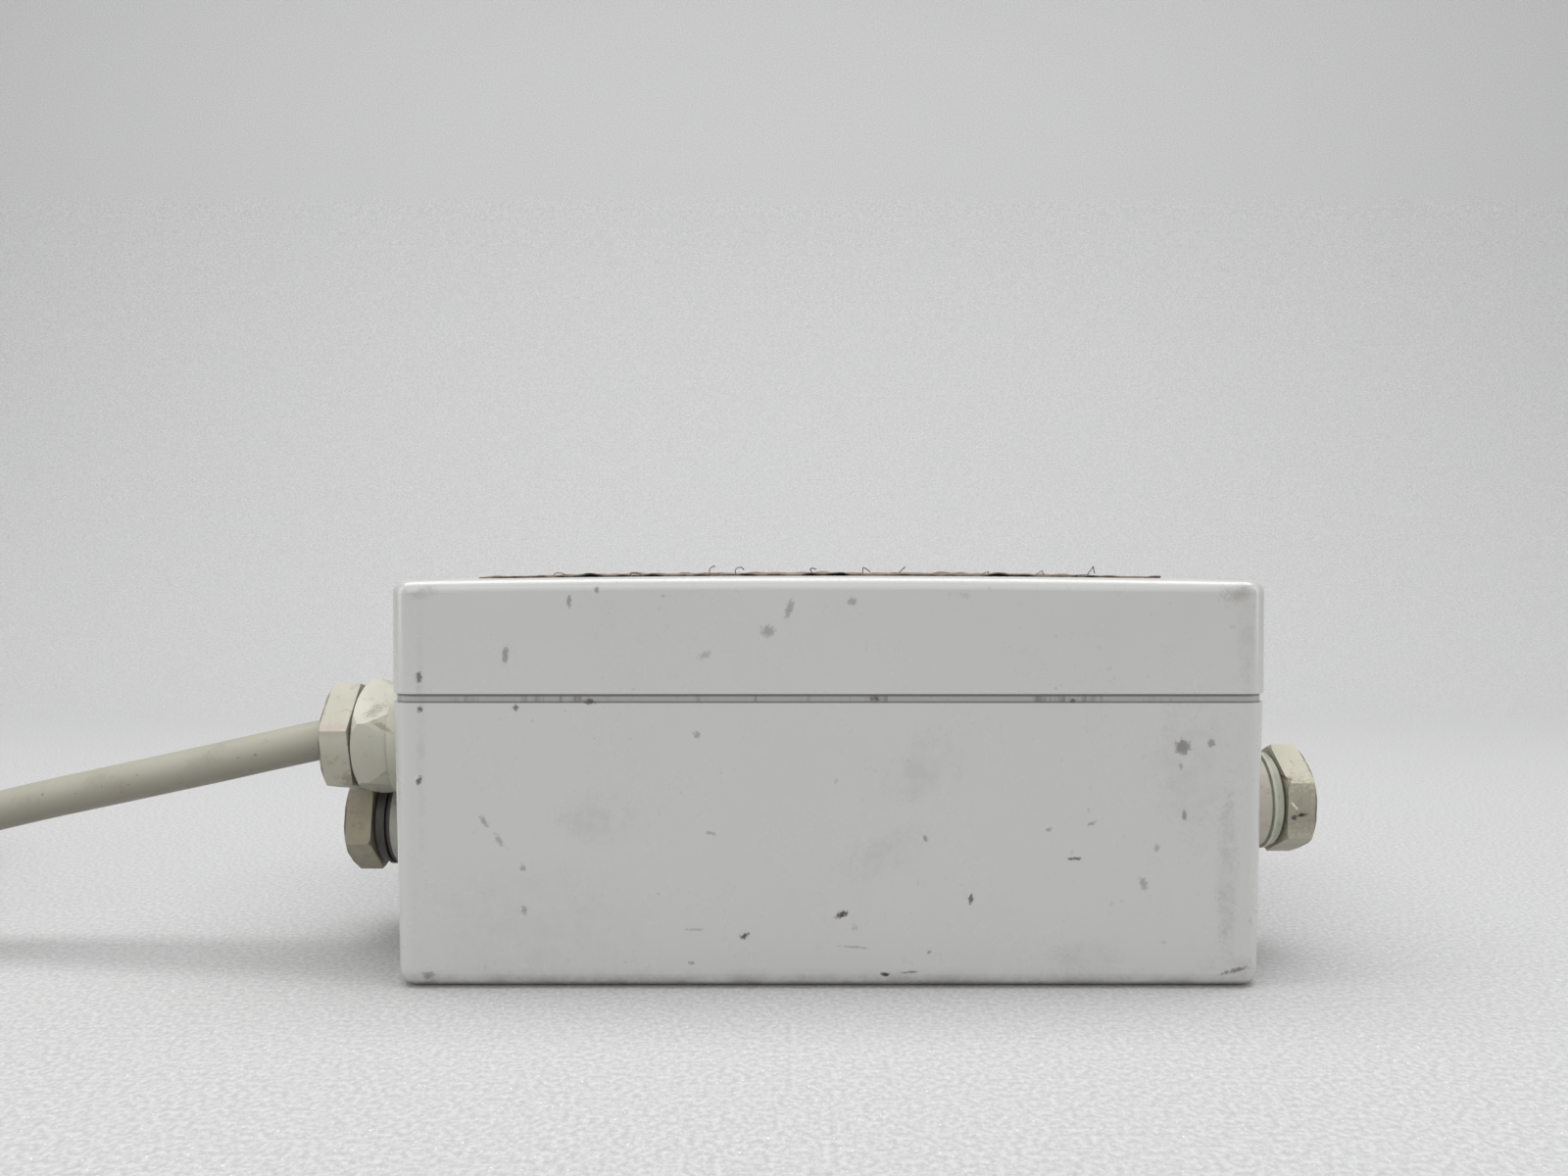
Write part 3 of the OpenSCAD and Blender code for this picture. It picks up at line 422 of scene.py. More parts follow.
class Paint:
    """Builds one node material around a Principled shader, with Object coordinates."""

    def __init__(self, name, roughness=0.5, **sockets):
        self.material = bpy.data.materials.new(name)
        self.material.use_nodes = True
        self.tree = self.material.node_tree
        self.shader = self.tree.nodes["Principled BSDF"]
        self.shader.inputs["Roughness"].default_value = roughness
        for socket, value in sockets.items():
            self.shader.inputs[socket.replace("_", " ")].default_value = value
        self.place = self.tree.nodes.new("ShaderNodeTexCoord").outputs["Object"]

    def link(self, socket, value):
        """Feeds a socket from another node, or sets it to a plain value."""
        if isinstance(value, bpy.types.NodeSocket):
            self.tree.links.new(value, socket)
        else:
            socket.default_value = value

    def noise(self, scale, detail=4.0, roughness=0.55, stretch=None):
        """Noise between 0 and 1 with about scale features to a metre."""
        node = self.tree.nodes.new("ShaderNodeTexNoise")
        node.inputs["Scale"].default_value = scale
        node.inputs["Detail"].default_value = detail
        node.inputs["Roughness"].default_value = roughness
        place = self.place
        if stretch:
            mapping = self.tree.nodes.new("ShaderNodeMapping")
            mapping.inputs["Scale"].default_value = stretch
            self.tree.links.new(place, mapping.inputs["Vector"])
            place = mapping.outputs["Vector"]
        self.tree.links.new(place, node.inputs["Vector"])
        return node.outputs["Fac"]

    def band(self, value, low, high, to_low=0.0, to_high=1.0):
        """value mapped from low..high to to_low..to_high, and held at the ends."""
        node = self.tree.nodes.new("ShaderNodeMapRange")
        node.interpolation_type = "SMOOTHSTEP"
        self.link(node.inputs["Value"], value)
        for name, number in (("From Min", low), ("From Max", high),
                             ("To Min", to_low), ("To Max", to_high)):
            node.inputs[name].default_value = number
        return node.outputs["Result"]

    def math(self, operation, a, b=0.0):
        node = self.tree.nodes.new("ShaderNodeMath")
        node.operation = operation
        self.link(node.inputs[0], a)
        self.link(node.inputs[1], b)
        return node.outputs[0]

    def facing(self, letter):
        """The surface's own direction along an axis, from -1 to 1."""
        node = self.tree.nodes.new("ShaderNodeSeparateXYZ")
        coordinates = self.tree.nodes.new("ShaderNodeTexCoord")
        self.tree.links.new(coordinates.outputs["Normal"], node.inputs[0])
        return node.outputs[letter]

    def axis(self, letter):
        """The coordinate along an axis, in metres."""
        node = self.tree.nodes.new("ShaderNodeSeparateXYZ")
        self.tree.links.new(self.place, node.inputs[0])
        return node.outputs[letter]

    def mix(self, share, a, b):
        """Colour a, or b where share is 1."""
        node = self.tree.nodes.new("ShaderNodeMix")
        node.data_type = "RGBA"
        self.link(node.inputs["Factor"], share)
        self.link(node.inputs[6], as_color(a))
        self.link(node.inputs[7], as_color(b))
        return node.outputs[2]

    def spot(self, at, size, tilt=0.0, ragged=None):
        """1 in an ellipsoid of half-sizes size round at, both in millimetres, to 0 outside."""
        mapping = self.tree.nodes.new("ShaderNodeMapping")
        mapping.vector_type = "TEXTURE"
        mapping.inputs["Location"].default_value = [a * MM for a in at]
        mapping.inputs["Rotation"].default_value = (0, math.radians(tilt), 0)
        mapping.inputs["Scale"].default_value = [s * MM for s in size]
        self.tree.links.new(self.place, mapping.inputs["Vector"])
        length = self.tree.nodes.new("ShaderNodeVectorMath")
        length.operation = "LENGTH"
        self.tree.links.new(mapping.outputs["Vector"], length.inputs[0])
        reach = length.outputs["Value"]
        if ragged is not None:
            reach = self.math("ADD", reach, ragged)
        return self.band(reach, 0.35, 1.0, 1.0, 0.0)

    def marks(self, rows, y, depth=4.0):
        """Marks of (x, z, half width, half height, tilt, strength) on a face that looks along Y."""
        ragged = self.math("MULTIPLY", self.math("SUBTRACT", self.noise(1300, 3), 0.5), 1.6)
        total = None
        for x, z, wide, high, tilt, strength in rows:
            spot = self.spot((x, y, z), (wide * MARK_GROW, depth, high * MARK_GROW), tilt, ragged)
            spot = self.math("MULTIPLY", spot, strength)
            total = spot if total is None else self.math("MAXIMUM", total, spot)
        return total

    def cells(self, scale, feature="F1"):
        """A cell pattern's distance to its points, or to its edges."""
        node = self.tree.nodes.new("ShaderNodeTexVoronoi")
        node.feature = feature
        node.inputs["Scale"].default_value = scale
        self.tree.links.new(self.place, node.inputs["Vector"])
        return node.outputs["Distance"]

    def stripes(self, letter, pitch, sharp=0.25):
        """Lines across an axis, pitch millimetres apart: 1 on the line."""
        turn = self.math("MULTIPLY", self.axis(letter), 2 * math.pi / (pitch * MM))
        return self.band(self.math("SINE", turn), 1 - 2 * sharp, 1.0)

    def between(self, letter, low, high, soft=0.2):
        """1 where a coordinate is between low and high millimetres."""
        place = self.axis(letter)
        up = self.band(place, (low - soft) * MM, (low + soft) * MM)
        down = self.band(place, (high - soft) * MM, (high + soft) * MM, 1.0, 0.0)
        return self.math("MULTIPLY", up, down)

    def finish(self, color, roughness=None, height=None, bump=0.1, distance=0.1):
        """Feeds the shader. The bump's distance is in millimetres."""
        self.link(self.shader.inputs["Base Color"], as_color(color))
        if roughness is not None:
            self.link(self.shader.inputs["Roughness"], roughness)
        if height is not None:
            node = self.tree.nodes.new("ShaderNodeBump")
            node.inputs["Strength"].default_value = bump
            node.inputs["Distance"].default_value = distance * MM
            self.tree.links.new(height, node.inputs["Height"])
            self.tree.links.new(node.outputs["Normal"], self.shader.inputs["Normal"])
        return self.material


def plain(name, color, roughness=0.5, grain=900, spread=0.12):
    """Moulded plastic with a little colour variation and a fine grain."""
    paint = Paint(name, roughness)
    dark = tuple(c * (1 - spread) for c in color)
    light = tuple(min(1, c * (1 + spread)) for c in color)
    tone = paint.mix(paint.noise(60), dark, light)
    rough = paint.band(paint.noise(240), 0.3, 0.7, roughness * 0.85, min(1, roughness * 1.15))
    return paint.finish(tone, rough, paint.noise(grain, 2), 0.08, 0.1)


def dress(material, *pieces):
    """Makes a material the only one on some pieces."""
    for piece in pieces:
        piece.data.materials.clear()
        piece.data.materials.append(material)


def give(material, *nodes):
    """Makes a material the only one on some CAD nodes."""
    dress(material, *(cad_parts[name] for name in nodes))


FRONT_Y = -60
GROOVE = (66.75, 68.75)     # between the base and the lid, from and to
GLAND_FRONT = (-49, 9)      # the Y of the marks on a gland's body, and how far they reach from it
NUT_FRONT = (-48, 14)       # the same on the nuts
# Marks on the front: (x, z, half width, half height, tilt in degrees, strength)
FRONT_MARKS = [
    (2.9, 17.4, 1.5, 0.75, -25, 1.0), (-19.6, 12.4, 1.3, 0.6, -25, 0.95),
    (33.0, 21.0, 0.55, 1.2, 10, 0.85), (57.1, 30.5, 1.5, 0.4, 0, 0.8),
    (13.1, 3.4, 1.2, 0.5, 5, 1.0), (-94.6, 72.6, 0.7, 1.3, 0, 0.75),
    (-94.8, 48.7, 0.6, 1.0, 25, 0.85), (-94.4, 65.2, 0.6, 0.7, 0, 0.8),
    (-72.3, 65.6, 0.8, 0.7, 0, 0.75), (-55.2, 67.0, 1.3, 0.6, 0, 0.8),
    (81.7, 56.5, 1.6, 1.7, 0, 0.6), (88.4, 57.3, 0.9, 0.9, 0, 0.5),
    (82.3, 40.6, 0.6, 1.0, 0, 0.55), (81.3, 51.8, 0.6, 0.7, 0, 0.45),
    (73.0, 24.7, 0.9, 1.5, -20, 0.4), (60.8, 38.7, 1.0, 0.45, -20, 0.4),
    (51.0, 37.3, 0.8, 0.5, -20, 0.4), (76.0, 33.0, 0.6, 0.8, 0, 0.35),
    (22.4, 35.2, 0.7, 0.7, 0, 0.5), (-14.1, 83.3, 1.5, 1.3, 0, 0.42),
    (-9.2, 88.4, 0.8, 2.2, 15, 0.42), (5.3, 90.1, 1.0, 0.8, -30, 0.4),
    (-74.6, 77.9, 0.7, 2.0, 8, 0.5), (-59.9, 90.2, 0.55, 1.4, 0, 0.5),
    (-53.5, 92.9, 0.5, 0.8, 0, 0.55), (-28.6, 77.8, 1.5, 0.7, -25, 0.3),
    (-30.6, 59.3, 0.9, 0.7, 0, 0.42), (-27.3, 36.5, 1.1, 0.45, 8, 0.38),
    (-79.9, 39.2, 0.6, 1.5, -35, 0.42), (-76.4, 34.8, 0.6, 1.6, -30, 0.38),
    (-71.0, 28.4, 0.7, 0.8, 0, 0.42), (-70.7, 18.6, 0.7, 1.0, -20, 0.42),
    (-31.1, 13.9, 2.2, 0.35, 0, 0.3), (-31.9, 6.1, 0.8, 0.45, 20, 0.5),
    (18.6, 3.9, 2.2, 0.3, -5, 0.6), (23.3, 8.6, 0.8, 0.35, -20, 0.45),
    (5.7, 9.8, 3.4, 0.3, 5, 0.32), (10.6, 67.7, 1.1, 0.7, 0, 0.7),
    (56.4, 67.2, 0.7, 0.5, 0, 0.75), (-92.9, 3.1, 1.5, 1.0, 0, 0.5),
    (94.4, 4.3, 3.0, 0.5, -15, 0.65),
]
# Wide faint stains on the front, with the same fields
FRONT_STAINS = [
    (-93.2, 92.1, 3.2, 1.3, -15, 0.55), (94.8, 91.7, 4.2, 2.6, 0, 0.6),
    (96.2, 82.0, 2.0, 10.0, 0, 0.35), (92.3, 27.0, 2.2, 19.0, 0, 0.40),
    (94.0, 5.0, 6.0, 2.5, 0, 0.40), (-94.3, 57.0, 1.0, 26.0, 0, 0.20),
    (-53.6, 39.5, 9.0, 5.0, 0, 0.20), (21.9, 51.8, 9.0, 7.0, -30, 0.20),
    (13.0, 31.7, 10.0, 4.5, -25, 0.20), (59.4, 7.5, 8.0, 3.5, 0, 0.22),
    (84.0, 52.0, 9.0, 16.0, 0, 0.20), (-70.0, 15.0, 22.0, 14.0, 0, 0.12),
]


def case_tone(paint):
    """Light grey, uneven by a little, with fine specks and scuffs all over."""
    tone = paint.mix(paint.noise(22, 3), (0.520, 0.522, 0.512), (0.550, 0.552, 0.540))
    specks = paint.math("MULTIPLY", paint.band(paint.noise(420, 2), 0.66, 0.76),
                        paint.band(paint.noise(30, 2), 0.42, 0.62, 0.0, 0.35))
    tone = paint.mix(specks, tone, (0.22, 0.21, 0.19))
    scuffs = paint.band(paint.noise(60, 6, 0.7, (1.0, 1.0, 0.35)), 0.50, 0.95, 0.0, 0.09)
    return paint.mix(scuffs, tone, (0.30, 0.29, 0.26))


def stain_front(paint, tone):
    """Wide faint stains, on the front only."""
    front = paint.band(paint.axis("Y"), (FRONT_Y + 8) * MM, (FRONT_Y + 10) * MM, 1.0, 0.0)
    stains = paint.math("MULTIPLY", paint.marks(FRONT_STAINS, FRONT_Y, 6),
                        paint.band(paint.noise(170, 6, 0.7), 0.30, 0.75))
    return paint.mix(paint.math("MULTIPLY", stains, front), tone, (0.20, 0.185, 0.15))


def soil_foot(paint, tone):
    """Patchy brown dirt over the lowest few millimetres, and a dark line at the very foot."""
    dirt = paint.math("MULTIPLY", paint.band(paint.axis("Z"), 0.0, 5.5 * MM, 1.0, 0.0),
                      paint.band(paint.noise(110, 6, 0.75), 0.36, 0.66, 0.10, 0.62))
    tone = paint.mix(dirt, tone, (0.13, 0.11, 0.08))
    foot = paint.band(paint.axis("Z"), 0.5 * MM, 1.9 * MM, 0.62, 0.0)
    return paint.mix(foot, tone, (0.10, 0.082, 0.072))


def shade_and_soil_groove(paint, tone):
    """Painted shadow as a dark line along the groove's top and another at its bottom, and dirt as
    ticks between them.
    """
    low, high = GROOVE
    # The two lines are painted shadow at the groove's edges.
    for start, end, strength in ((high - 0.6, high + 0.05, 0.8), (low - 0.05, low + 0.35, 0.6)):
        line = paint.math("MULTIPLY", paint.between("Z", start, end, 0.12), strength)
        tone = paint.mix(line, tone, (0.10, 0.095, 0.09))
    ticks = paint.band(paint.noise(160, 5, 0.7, (1.0, 1.0, 0.05)), 0.5, 0.66, 0.36, 0.85)
    ticks = paint.math("MULTIPLY", paint.between("Z", low, high, 0.12), ticks)
    return paint.mix(ticks, tone, (0.14, 0.135, 0.13))


def case_plastic():
    """Light grey glossy plastic with specks, stains, painted shadow lines and dirt in its groove,
    and dirt at its foot.
    """
    paint = Paint("case_plastic", 0.26, Coat_Weight=0.7, Coat_Roughness=0.12)
    tone = stain_front(paint, case_tone(paint))
    tone = shade_and_soil_groove(paint, soil_foot(paint, tone))
    marks = paint.marks(FRONT_MARKS, FRONT_Y)
    tone = paint.mix(marks, tone, (0.045, 0.034, 0.026))
    rough = paint.band(paint.noise(70, 5), 0.3, 0.7, 0.24, 0.38)
    rough = paint.math("ADD", rough, paint.math("MULTIPLY", marks, 0.3))
    return paint.finish(tone, rough, paint.noise(650, 2), 0.05, 0.08)


def gland_body_paint():
    """Greenish-grey polyamide, darker towards the bottom from painted shade, with dark wedge marks
    near the wall that are painted shade of its chamfer facets and dirt along their edges.
    """
    paint = Paint("gland_grey", 0.42)
    tone = paint.mix(paint.noise(130, 5), (0.465, 0.460, 0.378), (0.552, 0.547, 0.468))
    # Painted shade: the body is darker below its middle.
    low = paint.band(paint.axis("Z"), 47 * MM, 62 * MM, 0.46, 0.0)
    tone = paint.mix(low, tone, (0.20, 0.19, 0.14))
    # The wedge marks are partly painted shade of the chamfer facets near the wall, partly dirt along
    # their edges.
    rows = [(-109.6, 63.6, 2.6, 1.4, -32, 0.65), (-107.2, 59.6, 2.6, 0.6, 28, 0.6),
            (-106.3, 53.0, 0.35, 8.0, 0, 0.45), (-107.0, 48.2, 1.8, 0.6, -20, 0.4),
            (-108.5, 66.5, 1.2, 0.4, 30, 0.4)]
    tone = paint.mix(paint.marks(rows, *GLAND_FRONT), tone, (0.24, 0.21, 0.13))
    dirt = paint.band(paint.noise(300, 5, 0.7), 0.56, 0.74, 0.0, 0.4)
    tone = paint.mix(dirt, tone, (0.30, 0.29, 0.20))
    return paint.finish(tone, paint.band(paint.noise(180), 0.3, 0.7, 0.34, 0.52),
                        paint.noise(500, 3), 0.08, 0.15)


def outer_face(node):
    """The X of the end of a gland's node that is away from the box."""
    low, high = box_mm(node)
    return max(low[0], high[0], key=abs)


def nut_paint(gland, light, dark, dirt, rows, shade):
    """Beige polyamide, mottled, with a dirty outer rim and marks of its own.

    Each row is a mark and its colour. Shade gives the painted shade on the nut's underside: the
    height where it is at its full strength, the height where it ends, and that strength."""
    paint = Paint(gland + "_nut", 0.5)
    face = outer_face(gland + "_gland_nut")
    rim_x = face - math.copysign(0.1, face)
    tone = paint.mix(paint.noise(150, 6, 0.65), dark, light)
    mottle = paint.band(paint.noise(420, 5, 0.7), 0.52, 0.72, 0.0, dirt)
    tone = paint.mix(mottle, tone, (0.17, 0.135, 0.09))
    # Painted shade: the nut is darker towards its underside.
    underside_shade = paint.band(paint.axis("Z"), shade[0] * MM, shade[1] * MM, shade[2], 0.0)
    tone = paint.mix(underside_shade, tone, (0.17, 0.155, 0.11))
    rim = paint.math("MULTIPLY", paint.between("X", rim_x - 0.35, rim_x + 0.35, 0.15),
                     paint.band(paint.noise(260, 4), 0.35, 0.6, 0.25, 0.85))
    tone = paint.mix(rim, tone, (0.09, 0.07, 0.045))
    for row, color in rows:
        tone = paint.mix(paint.marks([row], *NUT_FRONT), tone, color)
    return paint.finish(tone, paint.band(paint.noise(200), 0.3, 0.7, 0.42, 0.62),
                        paint.noise(600, 4), 0.12, 0.15)


def cable_nut_paint():
    return nut_paint("cable", (0.544, 0.527, 0.445), (0.450, 0.434, 0.353), 0.4,
                     [((-119.4, 58.7, 5.4, 1.8, 0, 0.7), (0.46, 0.395, 0.34)),
                      ((-116.6, 46.0, 1.4, 2.2, 0, 0.5), (0.13, 0.10, 0.07))],
                     (50, 59, 0.38))


def left_nut_paint():
    return nut_paint("left", (0.365, 0.335, 0.245), (0.23, 0.20, 0.14), 0.65,
                     [((-120.0, 42.0, 4.0, 2.4, 0, 0.5), (0.09, 0.07, 0.05)),
                      # The narrow dark mark at -117.2 is painted shadow along the nut's inner bevel.
                      ((-117.2, 29.0, 0.7, 13.0, 0, 0.8), (0.03, 0.026, 0.022))],
                     (18, 24, 0.32))


def right_nut_paint():
    return nut_paint("right", (0.58, 0.555, 0.455), (0.45, 0.425, 0.335), 0.55,
                     [((116.0, 39.0, 7.0, 7.2, 0, 0.5), (0.20, 0.18, 0.13)),
                      ((116.2, 37.5, 1.3, 0.5, -12, 1.0), (0.02, 0.018, 0.012)),
                      ((114.4, 36.8, 0.6, 0.6, 0, 0.9), (0.03, 0.025, 0.018)),
                      ((114.2, 39.9, 0.3, 1.3, -40, 0.9), (0.80, 0.78, 0.68)),
                      ((112.9, 46.4, 1.5, 0.4, 25, 0.8), (0.12, 0.08, 0.05))],
                     (36, 45, 0.34))


def uneven(paint, color):
    """A colour with darker clouds."""
    return paint.mix(paint.noise(160, 5), tuple(c * 0.82 for c in color), color)


def collar_paint(name, color, steps, dirt):
    """Grimy polyamide. Each step is where it starts and ends along X, and its own colour."""
    paint = Paint(name, 0.48)
    tone = uneven(paint, color)
    for low, high, step_color in steps:
        tone = paint.mix(paint.between("X", low, high, 0.15), tone, uneven(paint, step_color))
    grime = paint.band(paint.noise(350, 5, 0.7), 0.50, 0.74, 0.0, dirt)
    tone = paint.mix(grime, tone, (0.10, 0.085, 0.065))
    return paint.finish(tone, paint.band(paint.noise(220), 0.3, 0.7, 0.4, 0.6),
                        paint.noise(500, 3), 0.1, 0.15)


def left_collar_paint():
    return collar_paint("left_collar", (0.34, 0.34, 0.31),
                        # The first step, next to the nut, is painted shadow in the gap between nut
                        # and collar.
                        [(-117, -112.4, (0.05, 0.045, 0.04)),
                         (-112.4, -108.2, (0.38, 0.38, 0.345))], 0.45)


def right_collar_paint():
    return collar_paint("right_collar", (0.52, 0.487, 0.412),
                        [(109.3, 110.4, (0.52, 0.525, 0.445)),
                         (110.4, 113, (0.43, 0.445, 0.355))], 0.35)


def sheath_paint():
    """Warm grey vinyl, browner on its underside where shade is painted, with smudges and specks."""
    paint = Paint("cable_sheath", 0.48)
    tone = paint.mix(paint.noise(45, 5), (0.315, 0.310, 0.248), (0.385, 0.380, 0.310))
    # Painted shade: the sheath is darker where it faces down.
    underside_shade = paint.band(paint.facing("Z"), -0.7, 0.35, 0.55, 0.0)
    tone = paint.mix(underside_shade, tone, (0.15, 0.12, 0.095))
    smudge = paint.band(paint.noise(38, 6, 0.7), 0.50, 0.70, 0.0, 0.55)
    tone = paint.mix(smudge, tone, (0.25, 0.205, 0.155))
    specks = paint.band(paint.noise(520, 3), 0.66, 0.76, 0.0, 0.6)
    tone = paint.mix(specks, tone, (0.12, 0.095, 0.07))
    return paint.finish(tone, paint.band(paint.noise(160), 0.3, 0.7, 0.4, 0.58),
                        paint.noise(420, 4, 0.6), 0.1, 0.12)


def film_paint():
    """Aged brown film, nearly black in places along its front edge."""
    paint = Paint("label_film", 0.6)
    soiled = paint.mix(paint.band(paint.noise(70, 6, 0.7), 0.40, 0.60),
                       (0.022, 0.014, 0.010), (0.26, 0.18, 0.13))
    clean = paint.mix(paint.band(paint.noise(38, 6, 0.65), 0.35, 0.65),
                      (0.135, 0.088, 0.062), (0.27, 0.19, 0.138))
    inward = paint.band(paint.axis("Y"), (1.6 - LABEL_Y) * MM, (5.6 - LABEL_Y) * MM)
    tone = paint.mix(inward, soiled, clean)
    tone = paint.mix(paint.band(paint.noise(320, 4), 0.55, 0.7, 0.0, 0.7), tone, (0.03, 0.02, 0.015))
    return paint.finish(tone, paint.band(paint.noise(200), 0.3, 0.7, 0.5, 0.8),
                        paint.noise(400, 4), 0.3, 0.2)


def metal(name, color, roughness, scratch=(1.0, 12.0, 1.0)):
    """Worn metal with fine scratches in one direction and duller patches."""
    paint = Paint(name, roughness, Metallic=1.0)
    lines = paint.noise(500, 4, 0.6, scratch)
    tone = paint.mix(lines, tuple(c * 0.72 for c in color), color)
    rough = paint.band(paint.noise(90, 4), 0.3, 0.7, roughness * 0.75, min(1, roughness * 1.4))
    return paint.finish(tone, rough, lines, 0.12, 0.05)


def rubber_paint():
    """Dusty black rubber."""
    paint = Paint("rubber", 0.7)
    dust = paint.band(paint.noise(260, 5, 0.7), 0.5, 0.75, 0.0, 0.5)
    tone = paint.mix(dust, (0.022, 0.022, 0.023), (0.11, 0.105, 0.095))
    return paint.finish(tone, paint.band(paint.noise(200), 0.3, 0.7, 0.6, 0.85),
                        paint.noise(900, 3), 0.15, 0.1)


def board_paint(name):
    """Green solder mask over copper lines, with tinned pads."""
    paint = Paint(name, 0.35)
    lines = paint.band(paint.cells(170, "DISTANCE_TO_EDGE"), 0.02, 0.06, 1.0, 0.0)
    tone = paint.mix(paint.noise(30, 3), (0.010, 0.085, 0.035), (0.016, 0.115, 0.050))
    tone = paint.mix(paint.math("MULTIPLY", lines, 0.8), tone, (0.045, 0.22, 0.10))
    pads = paint.band(paint.cells(230), 0.12, 0.17, 1.0, 0.0)
    tone = paint.mix(pads, tone, (0.55, 0.55, 0.52))
    return paint.finish(tone, paint.band(pads, 0.0, 1.0, 0.34, 0.22), lines, 0.2, 0.06)


def core_stack_paint():
    """Varnished laminations, half a millimetre thick, with rust at some of their edges."""
    paint = Paint("core_laminate", 0.5, Metallic=0.6)
    lines = paint.stripes("Y", 0.5, 0.35)
    rust = paint.band(paint.noise(120, 6, 0.7), 0.56, 0.72, 0.0, 0.7)
    tone = paint.mix(lines, (0.20, 0.20, 0.21), (0.06, 0.06, 0.062))
    tone = paint.mix(rust, tone, (0.16, 0.065, 0.025))
    return paint.finish(tone, paint.band(rust, 0.0, 0.7, 0.42, 0.8), lines, 0.4, 0.1)


def winding_paint():
    """Amber tape, wound in overlapping laps."""
    paint = Paint("winding_tape", 0.38)
    laps = paint.stripes("Z", 4.6, 0.10)
    tone = paint.mix(paint.noise(80, 5), (0.50, 0.28, 0.035), (0.66, 0.40, 0.06))
    tone = paint.mix(laps, tone, (0.28, 0.14, 0.02))
    return paint.finish(tone, paint.band(paint.noise(150), 0.3, 0.7, 0.28, 0.48), laps, 0.3, 0.1)


def capacitor_paint():
    """Dark blue sleeve with a pale polarity stripe, and a bare metal top."""
    paint = Paint("capacitor_sleeve", 0.3)
    tone = paint.mix(paint.noise(90), (0.012, 0.022, 0.085), (0.020, 0.034, 0.125))
    side_x, _, top_z = box_mm("filter_capacitors")[1]
    stripe = paint.between("X", side_x - 0.9, side_x + 0.1, 0.1)
    tone = paint.mix(stripe, tone, (0.55, 0.57, 0.60))
    top = paint.band(paint.axis("Z"), (top_z - 0.6) * MM, (top_z - 0.4) * MM)
    tone = paint.mix(top, tone, (0.62, 0.62, 0.61))
    paint.link(paint.shader.inputs["Metallic"], top)
    return paint.finish(tone, paint.band(paint.noise(220), 0.3, 0.7, 0.25, 0.4),
                        paint.noise(600), 0.06, 0.08)


def chip_paint():
    """A matt black body with tinned legs on both sides."""
    paint = Paint("controller_chip", 0.6)
    (_, front, _), (_, back, _) = box_mm("controller_chip")
    off = paint.math("SUBTRACT", paint.axis("Y"), (front + back) / 2 * MM)
    off = paint.math("ABSOLUTE", off)
    legs = paint.band(off, 3.60 * MM, 3.65 * MM)
    tone = paint.mix(paint.noise(200), (0.018, 0.018, 0.019), (0.034, 0.034, 0.035))
    tone = paint.mix(legs, tone, (0.60, 0.60, 0.57))
    paint.link(paint.shader.inputs["Metallic"], legs)
    return paint.finish(tone, paint.band(legs, 0.0, 1.0, 0.62, 0.3), paint.noise(1200), 0.15, 0.06)


def glass_paint():
    """Clear glass, faintly smeared."""
    paint = Paint("fuse_glass", 0.06, Transmission_Weight=1.0, IOR=1.5)
    tone = paint.mix(paint.noise(150), (0.90, 0.95, 0.95), (0.98, 1.0, 1.0))
    return paint.finish(tone, paint.band(paint.noise(300, 5), 0.45, 0.75, 0.03, 0.22),
                        paint.noise(120), 0.03, 0.05)


def lamp_paint():
    """Clear red epoxy, deeper in places."""
    paint = Paint("led_red", 0.15, Transmission_Weight=0.35, IOR=1.5)
    tone = paint.mix(paint.noise(200), (0.42, 0.015, 0.010), (0.66, 0.035, 0.02))
    return paint.finish(tone, paint.band(paint.noise(350), 0.3, 0.7, 0.1, 0.24),
                        paint.noise(500), 0.04, 0.05)


def core_paint(name, color, second=None):
    """Vinyl insulation, and for the earth core a second colour on one side of it."""
    paint = Paint(name, 0.42)
    tone = paint.mix(paint.noise(120), tuple(c * 0.85 for c in color), color)
    if second is not None:
        tone = paint.mix(paint.band(paint.facing("X"), -0.08, 0.08), tone, second)
    return paint.finish(tone, paint.band(paint.noise(260), 0.3, 0.7, 0.34, 0.5),
                        paint.noise(500), 0.06, 0.08)


def paint_case():
    """The box, its label, and every screw."""
    case = case_plastic()
    give(case, "enclosure_base")
    dress(case, lid_shell)
    dress(film_paint(), label, fibres)
    give(metal("screw_steel", (0.62, 0.61, 0.58), 0.32),
         "lid_screws", "board_screws", "terminal_screws")


def paint_glands():
    """The glands, with their locknuts and washers, and the lid's gasket."""
    give(gland_body_paint(), "cable_gland_body")
    give(cable_nut_paint(), "cable_gland_nut")
    give(left_nut_paint(), "left_gland_nut")
    give(right_nut_paint(), "right_gland_nut")
    give(left_collar_paint(), "left_gland_body")
    give(right_collar_paint(), "right_gland_body")
    give(plain("ring_white", (0.66, 0.63, 0.54), 0.45),
         "cable_gland_ring", "left_gland_ring", "right_gland_ring")
    give(plain("locknut_grey", (0.40, 0.42, 0.36), 0.5), "gland_locknuts")
    give(rubber_paint(), "cable_gland_seal", "left_gland_seal", "right_gland_seal",
         "gland_washers", "lid_gasket")


